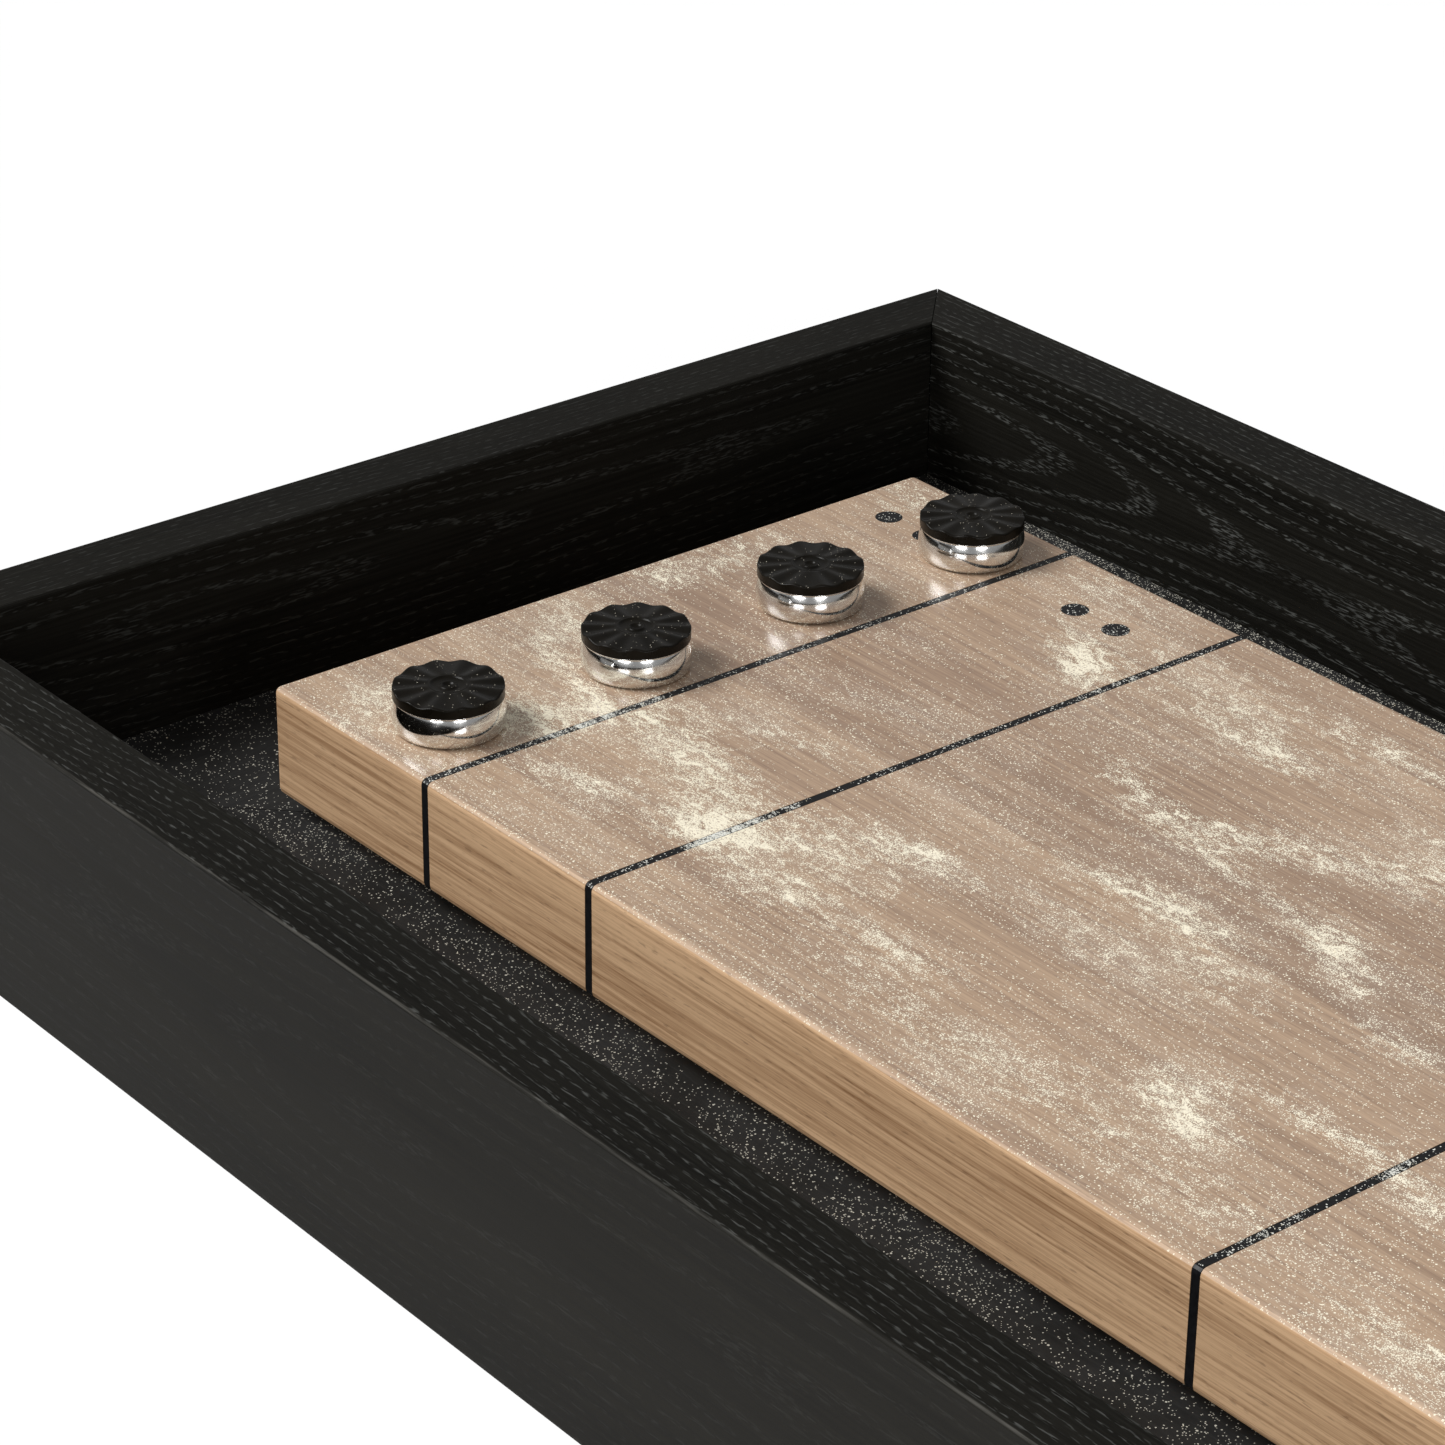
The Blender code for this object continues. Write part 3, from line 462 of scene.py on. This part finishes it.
def birch_ply():
    g = Graph("birch_ply_layers")
    place = g.place()
    _, _, z = g.split(place)
    ply = g.math("FRACT", g.math("MULTIPLY", z, 1 / PLY_PAIR))
    band = g.math("GREATER_THAN", ply, 0.5)
    fibres = g.noise(g.vector("MULTIPLY", place, (9.0, 420.0, 420.0)), 1.0, 3.0, 0.6)
    end_grain = g.noise(g.vector("MULTIPLY", place, (420.0, 420.0, 30.0)), 1.0, 2.0, 0.6)
    colour = g.blend(fibres, PLY_PALE, PLY_DARK)
    darker = g.blend(end_grain, PLY_END_DARK, PLY_END_PALE)
    normal = g.add("NewGeometry").outputs["Normal"]
    side = g.math("SUBTRACT", 1.0, g.math("ABSOLUTE", g.split(normal)[2]), clamp=True)
    colour = g.blend(g.math("MULTIPLY", band, g.math("MULTIPLY", side, 0.75)), colour, darker)
    rough = g.spread(fibres, 0.3, 0.7, 0.50, 0.68)
    return g.finish(Base_Color=colour, Roughness=rough, Normal=g.bump(fibres, 0.15, 0.0003))


def painted_steel():
    g = Graph("painted_steel_satin")
    place = g.place()
    peel = g.noise(place, 900.0, 2.0, 0.5)
    cloud = g.noise(place, 30.0, 3.0, 0.6)
    colour = g.blend(g.spread(cloud, 0.3, 0.7), PAINT_DARK, PAINT_LIGHT)
    rough = g.spread(cloud, 0.3, 0.7, 0.34, 0.46)
    return g.finish(Base_Color=colour, Roughness=rough, Normal=g.bump(peel, 0.12, 0.0002))


def plated_steel():
    g = Graph("plated_steel_brushed")
    place = g.place()
    turning = g.noise(g.vector("MULTIPLY", place, (60.0, 60.0, 2400.0)), 1.0, 2.0, 0.5)
    cloud = g.noise(place, 90.0, 3.0, 0.6)
    colour = g.blend(g.spread(cloud, 0.3, 0.7), ZINC_DARK, ZINC_LIGHT)
    rough = g.spread(turning, 0.3, 0.7, 0.22, 0.36)
    return g.finish(Base_Color=colour, Roughness=rough, Metallic=1.0, Normal=g.bump(turning, 0.10, 0.0001))


def black_rubber():
    g = Graph("black_rubber_matt")
    place = g.place()
    grit = g.noise(place, 1300.0, 2.0, 0.6)
    cloud = g.noise(place, 70.0, 3.0, 0.6)
    colour = g.blend(g.spread(cloud, 0.3, 0.7), RUBBER_DARK, RUBBER_LIGHT)
    return g.finish(Base_Color=colour, Roughness=g.spread(cloud, 0.3, 0.7, 0.75, 0.90),
                    Normal=g.bump(grit, 0.25, 0.0002))


def chrome():
    g = Graph("chrome_polished")
    place = g.place()
    _, _, z = g.split(place)
    smear = g.noise(place, 160.0, 4.0, 0.6)
    turning = g.noise(g.vector("MULTIPLY", place, (40.0, 40.0, 1600.0)), 1.0, 2.0, 0.5)
    colour = g.blend(g.spread(smear, 0.35, 0.7), CHROME_BRIGHT, CHROME_DULL)
    dust = g.noise(place, 1900.0, 2.0, 0.6)
    low = g.spread(z, FIELD_TOP + 0.0050, FIELD_TOP, 0.0, 0.16)
    specks = g.spread(g.math("ADD", dust, low), 0.71, 0.74)
    colour = g.blend(specks, colour, POWDER_CREAM)
    rough = g.math("MAXIMUM", g.spread(smear, 0.3, 0.75, 0.08, 0.15), g.math("MULTIPLY", specks, 0.7))
    metal = g.math("SUBTRACT", 1.0, specks)
    normal = g.bump(turning, 0.01, 0.0001)
    return g.finish(Base_Color=colour, Roughness=rough, Metallic=metal, Normal=normal)


def cap_plastic():
    g = Graph("cap_plastic_semi_gloss")
    place = g.place()
    smear = g.noise(place, 120.0, 4.0, 0.6)
    texture = g.noise(place, 2600.0, 1.0, 0.5)
    colour = g.blend(g.spread(smear, 0.3, 0.7), CAP_DARK, CAP_LIGHT)
    up = g.spread(g.split(g.add("NewGeometry").outputs["Normal"])[2], 0.5, 0.9)
    dusty = g.spread(smear, 0.45, 0.75, 0.010, 0.08)
    specks = g.math("MULTIPLY", speckles(g, place, CAP_CELL, dusty, 0.30), up)
    colour = g.blend(specks, colour, CAP_SPECK)
    rough = g.math("MAXIMUM", g.spread(smear, 0.3, 0.7, 0.22, 0.34), g.math("MULTIPLY", specks, 0.8))
    return g.finish(Base_Color=colour, Roughness=rough, Normal=g.bump(texture, 0.05, 0.0001),
                    Specular_IOR_Level=0.12)


def powder_grain():
    g = Graph("powder_grain")
    place = g.place()
    tint = g.noise(place, 700.0, 2.0, 0.6)
    colour = g.blend(g.spread(tint, 0.35, 0.65), GRAIN_CREAM, GRAIN_TAN)
    return g.finish(Base_Color=colour, Roughness=g.spread(tint, 0.3, 0.7, 0.55, 0.85),
                    Normal=g.bump(tint, 0.2, 0.0002))


def floor_finish():
    g = Graph("studio_floor")
    place = g.place()
    cloud = g.noise(place, 0.8, 2.0, 0.5)
    colour = g.blend(cloud, FLOOR_DARK, FLOOR_LIGHT)
    rough = g.spread(cloud, 0.3, 0.7, 0.60, 0.70)
    return g.finish(Base_Color=colour, Roughness=rough, Specular_IOR_Level=0.2)


def mesh_piece(name, points, faces, material, smooth=True):
    mesh = bpy.data.meshes.new(name)
    mesh.from_pydata([tuple(p) for p in points], [], faces)
    mesh.update()
    built = bmesh.new()
    built.from_mesh(mesh)
    bmesh.ops.recalc_face_normals(built, faces=built.faces)
    built.to_mesh(mesh)
    built.free()
    mesh.materials.append(material)
    if smooth:
        mesh.shade_smooth()
    piece = bpy.data.objects.new(name, mesh)
    bpy.context.scene.collection.objects.link(piece)
    return piece


def closed_rings(rings):
    """Points and faces of one closed skin over rings of equal length, capped flat at both ends."""
    count = len(rings[0])
    points = [p for ring in rings for p in ring]
    faces = [list(range(count)), [(len(rings) - 1) * count + k for k in range(count)][::-1]]
    for r in range(len(rings) - 1):
        for k in range(count):
            after = (k + 1) % count
            faces.append([r * count + k, (r + 1) * count + k, (r + 1) * count + after, r * count + after])
    return points, faces


# The weight's outline from its base up: radius and height above its base.
WEIGHT_STEPS = 128
WEIGHT_PROFILE = (
    (0.0205, 0.0010), (0.0216, 0.0007), (0.0221, 0.0000), (0.0235, 0.0000), (0.0245, 0.0000),
    (0.0253, 0.0003), (0.0260, 0.0010), (0.0265, 0.0020), (0.0269, 0.0034), (0.0271, 0.0050),
    (0.0272, 0.0066), (0.0272, 0.0080), (0.02710, 0.0093), (0.02692, 0.0105), (0.02670, 0.0116),
    (0.02642, 0.0127), (0.02612, 0.0138), (0.02585, 0.0147), (0.02570, 0.0151), (0.02575, 0.01530),
    (0.02590, 0.0155), (0.02580, 0.0158), (0.0249, 0.0159), (0.0238, 0.0159),
)
CAP_STEPS = 288
CAP_FLUTES = 12
CAP_RADIUS = 0.0266
CAP_BASE = 0.0160
CAP_TOP = 0.0219
CAP_EDGE = 0.0258
FLUTE_DEPTH = 0.0012
HUB_RADIUS = 0.0098
# Where the rings of the cap's top lie, from its middle out; the last one is at CAP_EDGE.
CAP_RING_RADII = (
    0.0004, 0.0010, 0.0016, 0.0022, 0.0027, 0.0031, 0.0035, 0.0039, 0.0044, 0.0050, 0.0058, 0.0066,
    0.0073, 0.0079, 0.0084, 0.0088, 0.0092, 0.0096, 0.0101, 0.0112, 0.0128, 0.0146, 0.0165, 0.0184,
    0.0202, 0.0218, 0.0232, 0.0244, 0.0252, CAP_EDGE,
)
# Rounding of the cap's rim: how far out of CAP_EDGE and how far down each ring lies.
CAP_RIM = ((0.0004, 0.00010), (0.0007, 0.00032), (0.0008, 0.00060))
# How each puck's cap is turned, in degrees.
CAP_TURNS = (8, 20, 2, 13)


def weight_points(centre, base):
    """The outline's rings, with one more halfway between each two."""
    profile = []
    for (r0, z0), (r1, z1) in zip(WEIGHT_PROFILE, WEIGHT_PROFILE[1:]):
        profile += [(r0, z0), ((r0 + r1) / 2, (z0 + z1) / 2)]
    profile.append(WEIGHT_PROFILE[-1])
    rings = []
    for radius, height in profile:
        ring = []
        for k in range(WEIGHT_STEPS):
            a = math.tau * k / WEIGHT_STEPS
            ring.append((centre.x + radius * math.cos(a), centre.y + radius * math.sin(a), base + height))
        rings.append(ring)
    return closed_rings(rings)


def cap_height(radius, angle):
    """Height of the fluted top over the weight's base."""
    share = (radius - HUB_RADIUS) / (CAP_RADIUS - HUB_RADIUS)
    if share > 0:
        scoop = 0.5 - 0.5 * math.cos(CAP_FLUTES * angle)
        grow = min(1.0, share * 1.15) ** 0.75
        return CAP_TOP - 0.0001 - FLUTE_DEPTH * grow * scoop
    inner = radius / HUB_RADIUS
    rim = 0.00060 * math.exp(-((inner - 0.92) / 0.060) ** 2)
    dish = -0.00100 * (1 - inner ** 4)
    boss = 0.00095 * math.exp(-((radius - 0.0034) / 0.0008) ** 2)
    dimple = -0.00050 * math.exp(-(radius / 0.0019) ** 2)
    return CAP_TOP - 0.0004 + rim + dish + boss + dimple


def cap_points(centre, base, turn):
    """The fluted cap's rings, from its middle over the rim and down its skirt."""
    rings = []

    def ring(radius, height_of):
        made = []
        for k in range(CAP_STEPS):
            a = math.tau * k / CAP_STEPS
            made.append((centre.x + radius * math.cos(a + turn), centre.y + radius * math.sin(a + turn),
                         base + height_of(a)))
        rings.append(made)

    def skirt_height(angle, share):
        """Height share of the way from under the rim to just over the cap's base."""
        return (cap_height(CAP_EDGE, angle) - 0.0009) * (1 - share) + (CAP_BASE + 0.0002) * share

    for radius in CAP_RING_RADII:
        ring(radius, lambda a, r=radius: cap_height(r, a))
    for grow, drop in CAP_RIM:
        ring(CAP_EDGE + grow, lambda a, d=drop: cap_height(CAP_EDGE, a) - d)
    for share in (0.06, 0.5, 0.94, 1.0):
        ring(CAP_RADIUS, lambda a, s=share: skirt_height(a, s))
    ring(CAP_RADIUS - 0.0002, lambda a: CAP_BASE)
    ring(CAP_RADIUS - 0.0010, lambda a: CAP_BASE)
    ring(0.0200, lambda a: CAP_BASE)
    return closed_rings(rings)


def build_pucks(chrome_finish, cap_finish):
    for number in range(1, 5):
        low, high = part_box(f"puck_weight_{number}")
        centre = (low + high) / 2
        weight = mesh_piece(f"weight_{number}", *weight_points(centre, low.z), chrome_finish)
        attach(weight, f"puck_{number}")
        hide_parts(f"puck_weight_{number}")
        turn = math.radians(CAP_TURNS[number - 1])
        cap = mesh_piece(f"cap_{number}", *cap_points(centre, low.z, turn), cap_finish)
        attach(cap, f"puck_{number}")
        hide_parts(f"puck_cap_{number}")


# Inlaid spots by zone: how far in from the playfield's end, for each spot of a zone.
SPOTS = {"three": (0.0327, 0.0618, 0.0910), "two": (0.1741, 0.2033), "one": (0.4380,)}
SPOT_ACROSS = 0.3605
SPOT_RADIUS = 0.0071
SPOT_PROUD = 0.00012
SPOT_STEPS = 48
# A spot's rings, from below the wood up and in: share of its radius, height over the playfield.
SPOT_RINGS = ((1.0, -0.0004), (1.0, SPOT_PROUD * 0.4), (0.985, SPOT_PROUD), (0.6, SPOT_PROUD),
              (0.2, SPOT_PROUD))


def build_spots(finish):
    for end, sign in (("left", 1), ("right", -1)):
        start = FIELD_LOW.x if sign > 0 else FIELD_HIGH.x
        for zone, places in SPOTS.items():
            for index, along in enumerate(places, 1):
                x = start + sign * along
                y = FIELD_LOW.y + SPOT_ACROSS if sign > 0 else FIELD_HIGH.y - SPOT_ACROSS
                rings = []
                for share, height in SPOT_RINGS:
                    rings.append([(x + SPOT_RADIUS * share * math.cos(math.tau * k / SPOT_STEPS),
                                   y + SPOT_RADIUS * share * math.sin(math.tau * k / SPOT_STEPS),
                                   FIELD_TOP + height) for k in range(SPOT_STEPS)])
                spot = mesh_piece(f"spot_{end}_{zone}_{index}", *closed_rings(rings), finish, smooth=False)
                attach(spot, "table")


def drift_amount(x, y):
    """The listed drifts, as in drift_field, at many places at once."""
    total = np.zeros_like(x)
    for along, across, half_long, half_wide, turn, amount in DRIFTS:
        dx = x - (FIELD_LOW.x + along)
        dy = y - (FIELD_LOW.y + across)
        c, s = math.cos(math.radians(-turn)), math.sin(math.radians(-turn))
        reach = np.hypot((dx * c - dy * s) / half_long, (dx * s + dy * c) / half_wide)
        total += amount * DRIFT_HEIGHT * np.clip(1 - reach / DRIFT_REACH, 0, 1)
    return total


def grain_mesh(name, places, sizes, floor_height, rng, finish):
    """Squat four-sided grains of powder, each turned its own way, resting on a level face."""
    count = len(places)
    turn = rng.uniform(0, math.tau, count)
    tilt = rng.uniform(0.45, 0.95, count)
    points = np.empty((count, 4, 3))
    for corner in range(3):
        a = turn + corner * math.tau / 3
        reach = sizes * rng.uniform(0.40, 0.62, count)
        points[:, corner, 0] = places[:, 0] + reach * np.cos(a)
        points[:, corner, 1] = places[:, 1] + reach * np.sin(a)
        points[:, corner, 2] = floor_height
    points[:, 3, 0] = places[:, 0]
    points[:, 3, 1] = places[:, 1]
    points[:, 3, 2] = floor_height + sizes * 0.55 * tilt
    base = np.arange(count)[:, None] * 4
    shape = np.array([[0, 2, 1], [0, 1, 3], [1, 2, 3], [2, 0, 3]])
    faces = (base[:, None, :] + shape[None]).reshape(-1, 3)
    mesh = bpy.data.meshes.new(name)
    mesh.from_pydata(points.reshape(-1, 3).tolist(), [], faces.tolist())
    mesh.materials.append(finish)
    piece = bpy.data.objects.new(name, mesh)
    bpy.context.scene.collection.objects.link(piece)
    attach(piece, "table")
    return piece


# Loose grains: places tried, the most kept, how near an edge they come, their sizes, how deep they sit.
POWDER_SEED = 20
FIELD_TRIES = 260000
FIELD_MOST = 45000
FIELD_MARGIN = 0.004
FIELD_GRAINS = (0.00030, 0.00078)
GUTTER_TRIES = 9000
GUTTER_MARGIN = 0.003
GUTTER_GRAINS = (0.0004, 0.0010)
GRAIN_SUNK = 0.00002


def build_powder(finish):
    """Loose grains on the playfield, thickest in the drifts, and in the gutters."""
    rng = np.random.default_rng(POWDER_SEED)
    x = rng.uniform(FIELD_LOW.x + FIELD_MARGIN, FIELD_HIGH.x - FIELD_MARGIN, FIELD_TRIES)
    y = rng.uniform(FIELD_LOW.y + FIELD_MARGIN, FIELD_HIGH.y - FIELD_MARGIN, FIELD_TRIES)
    amount = drift_amount(x, y)
    keep = rng.uniform(0, 1, FIELD_TRIES) < 0.03 + 0.60 * np.clip(amount, 0, 1.2) ** 1.6
    places = np.stack([x[keep], y[keep]], 1)[:FIELD_MOST]
    sizes = rng.uniform(*FIELD_GRAINS, len(places))
    grain_mesh("powder_on_playfield", places, sizes, FIELD_TOP - GRAIN_SUNK, rng, finish)
    x = rng.uniform(-END_INNER + GUTTER_MARGIN, END_INNER - GUTTER_MARGIN, GUTTER_TRIES)
    y = rng.uniform(-RAIL_INNER + GUTTER_MARGIN, RAIL_INNER - GUTTER_MARGIN, GUTTER_TRIES)
    inside = (np.abs(x) < FIELD_HIGH.x + FIELD_MARGIN) & (np.abs(y) < FIELD_HIGH.y + FIELD_MARGIN)
    places = np.stack([x[~inside], y[~inside]], 1)
    sizes = rng.uniform(*GUTTER_GRAINS, len(places))
    grain_mesh("powder_in_gutters", places, sizes, GUTTER_TOP - GRAIN_SUNK, rng, finish)


# Black oak: end of the material's name, fibre axis, pith, seed, dust, how open the pores are, its nodes.
# Pith is across, upward, and how far out the flat outer face is; NO_OUTER is for pieces with no such face.
NO_OUTER = 9.0
BLACK_OAKS = (
    ("side_rails", "x", (RAIL_INNER - 0.052, RAIL_TOP - 0.055, RAIL_OUTER), 0.0, 0.0, 0.78,
     ("side_rail_near", "side_rail_far")),
    ("end_rails", "y", (END_INNER - 0.060, RAIL_TOP - 0.030, END_INNER + RAIL_OUTER - RAIL_INNER), 5.0, 0.0,
     0.3, ("end_rail_left", "end_rail_right")),
    ("side_gutters", "x", (RAIL_INNER - 0.05, GUTTER_TOP - 0.060, 0.0), 9.0, 1.0, 1.0,
     ("gutter_board_near", "gutter_board_far")),
    ("end_gutters", "y", (END_INNER - 0.05, GUTTER_TOP - 0.060, 0.0), 12.0, 0.6, 1.0,
     ("gutter_board_left", "gutter_board_right")),
    ("cross_members", "y", (0.62, -0.06, NO_OUTER), 15.0, 0.0, 0.45,
     ("pedestal_beam_left", "pedestal_beam_right", "pedestal_foot_left", "pedestal_foot_right")),
    ("stretcher", "x", (-0.06, 0.27, NO_OUTER), 18.0, 0.0, 0.45, ("stretcher",)),
    ("panels", "z", (0.02, 0.60, NO_OUTER), 22.0, 0.0, 0.45,
     ("pedestal_panel_left", "pedestal_panel_right")),
)


def paint(names, material):
    for name in names:
        for slot in NODES[name].material_slots:
            slot.material = material


def dress_frame():
    """Gives every CAD node that shows its finish, and hands back the inlays' one for the spots."""
    paint(["playfield"], natural_oak())
    inlay = black_inlay()
    paint([f"score_line_{end}_{n}" for end in ("left", "right") for n in (1, 2, 3)], inlay)
    for name, grain, pith, seed, dusty, open_pores, nodes in BLACK_OAKS:
        paint(nodes, black_oak("black_oak_" + name, grain, pith, seed, dusty, open_pores))
    finishes = {
        "birch_ply": birch_ply(),
        "painted_steel": painted_steel(),
        "plated_steel": plated_steel(),
        "black_rubber": black_rubber(),
    }
    for part in frame["record"]["subparts"]:
        if part["material_slot"] in finishes:
            paint([part["node"]], finishes[part["material_slot"]])
    return inlay


def aimed(bearing, elevation):
    """Unit vector towards a lamp at this bearing from +X and this elevation."""
    a, e = math.radians(bearing), math.radians(elevation)
    return Vector((math.cos(a) * math.cos(e), math.sin(a) * math.cos(e), math.sin(e)))


def build_studio():
    """A pale floor, a white surrounding that lights less than it shows, the sun and the two lamps."""
    square = ((-1, -1), (1, -1), (1, 1), (-1, 1))
    corners = [(x * FLOOR_HALF, y * FLOOR_HALF, FLOOR_HEIGHT) for x, y in square]
    floor = mesh_piece("studio_floor", corners, [[0, 1, 2, 3]], floor_finish(), smooth=False)
    world = bpy.data.worlds.new("studio")
    world.use_nodes = True
    tree = world.node_tree
    background = tree.nodes["Background"]
    background.inputs["Color"].default_value = (1.0, 1.0, 1.0, 1.0)
    seen = tree.nodes.new("ShaderNodeLightPath").outputs["Is Camera Ray"]
    level = tree.nodes.new("ShaderNodeMapRange")
    level.inputs["To Min"].default_value = WORLD_STRENGTH
    level.inputs["To Max"].default_value = 1.0
    tree.links.new(seen, level.inputs["Value"])
    tree.links.new(level.outputs[0], background.inputs["Strength"])
    bpy.context.scene.world = world
    key = bpy.data.lights.new("key", "SUN")
    key.energy = KEY_STRENGTH
    key.angle = math.radians(KEY_SPREAD)
    sun = bpy.data.objects.new("key", key)
    sun.rotation_euler = aimed(KEY_BEARING, KEY_ELEVATION).to_track_quat("Z", "Y").to_euler()
    bpy.context.scene.collection.objects.link(sun)
    for name, azimuth, elevation, distance, width, height, power in LAMPS:
        light = bpy.data.lights.new(name, "AREA")
        light.shape = "ELLIPSE"
        light.size = width
        light.size_y = height
        light.energy = power
        lamp = bpy.data.objects.new(name, light)
        away = aimed(azimuth, elevation)
        lamp.location = LAMP_TARGET + away * distance
        lamp.rotation_euler = away.to_track_quat("Z", "Y").to_euler()
        bpy.context.scene.collection.objects.link(lamp)


def build_camera():
    lens = bpy.data.cameras.new("camera")
    lens.lens = CAMERA_LENS
    lens.sensor_width = CAMERA_SENSOR
    lens.clip_start = 0.05
    lens.clip_end = 200.0
    camera = bpy.data.objects.new("camera", lens)
    camera.location = CAMERA_PLACE
    camera.rotation_euler = [math.radians(a) for a in CAMERA_TURN]
    bpy.context.scene.collection.objects.link(camera)
    bpy.context.scene.camera = camera
    bpy.context.scene.view_settings.view_transform = "Standard"
    bpy.context.scene.cycles.denoising_prefilter = "NONE"


build_camera()
inlay_finish = dress_frame()
build_pucks(chrome(), cap_plastic())
build_spots(inlay_finish)
build_powder(powder_grain())
build_studio()
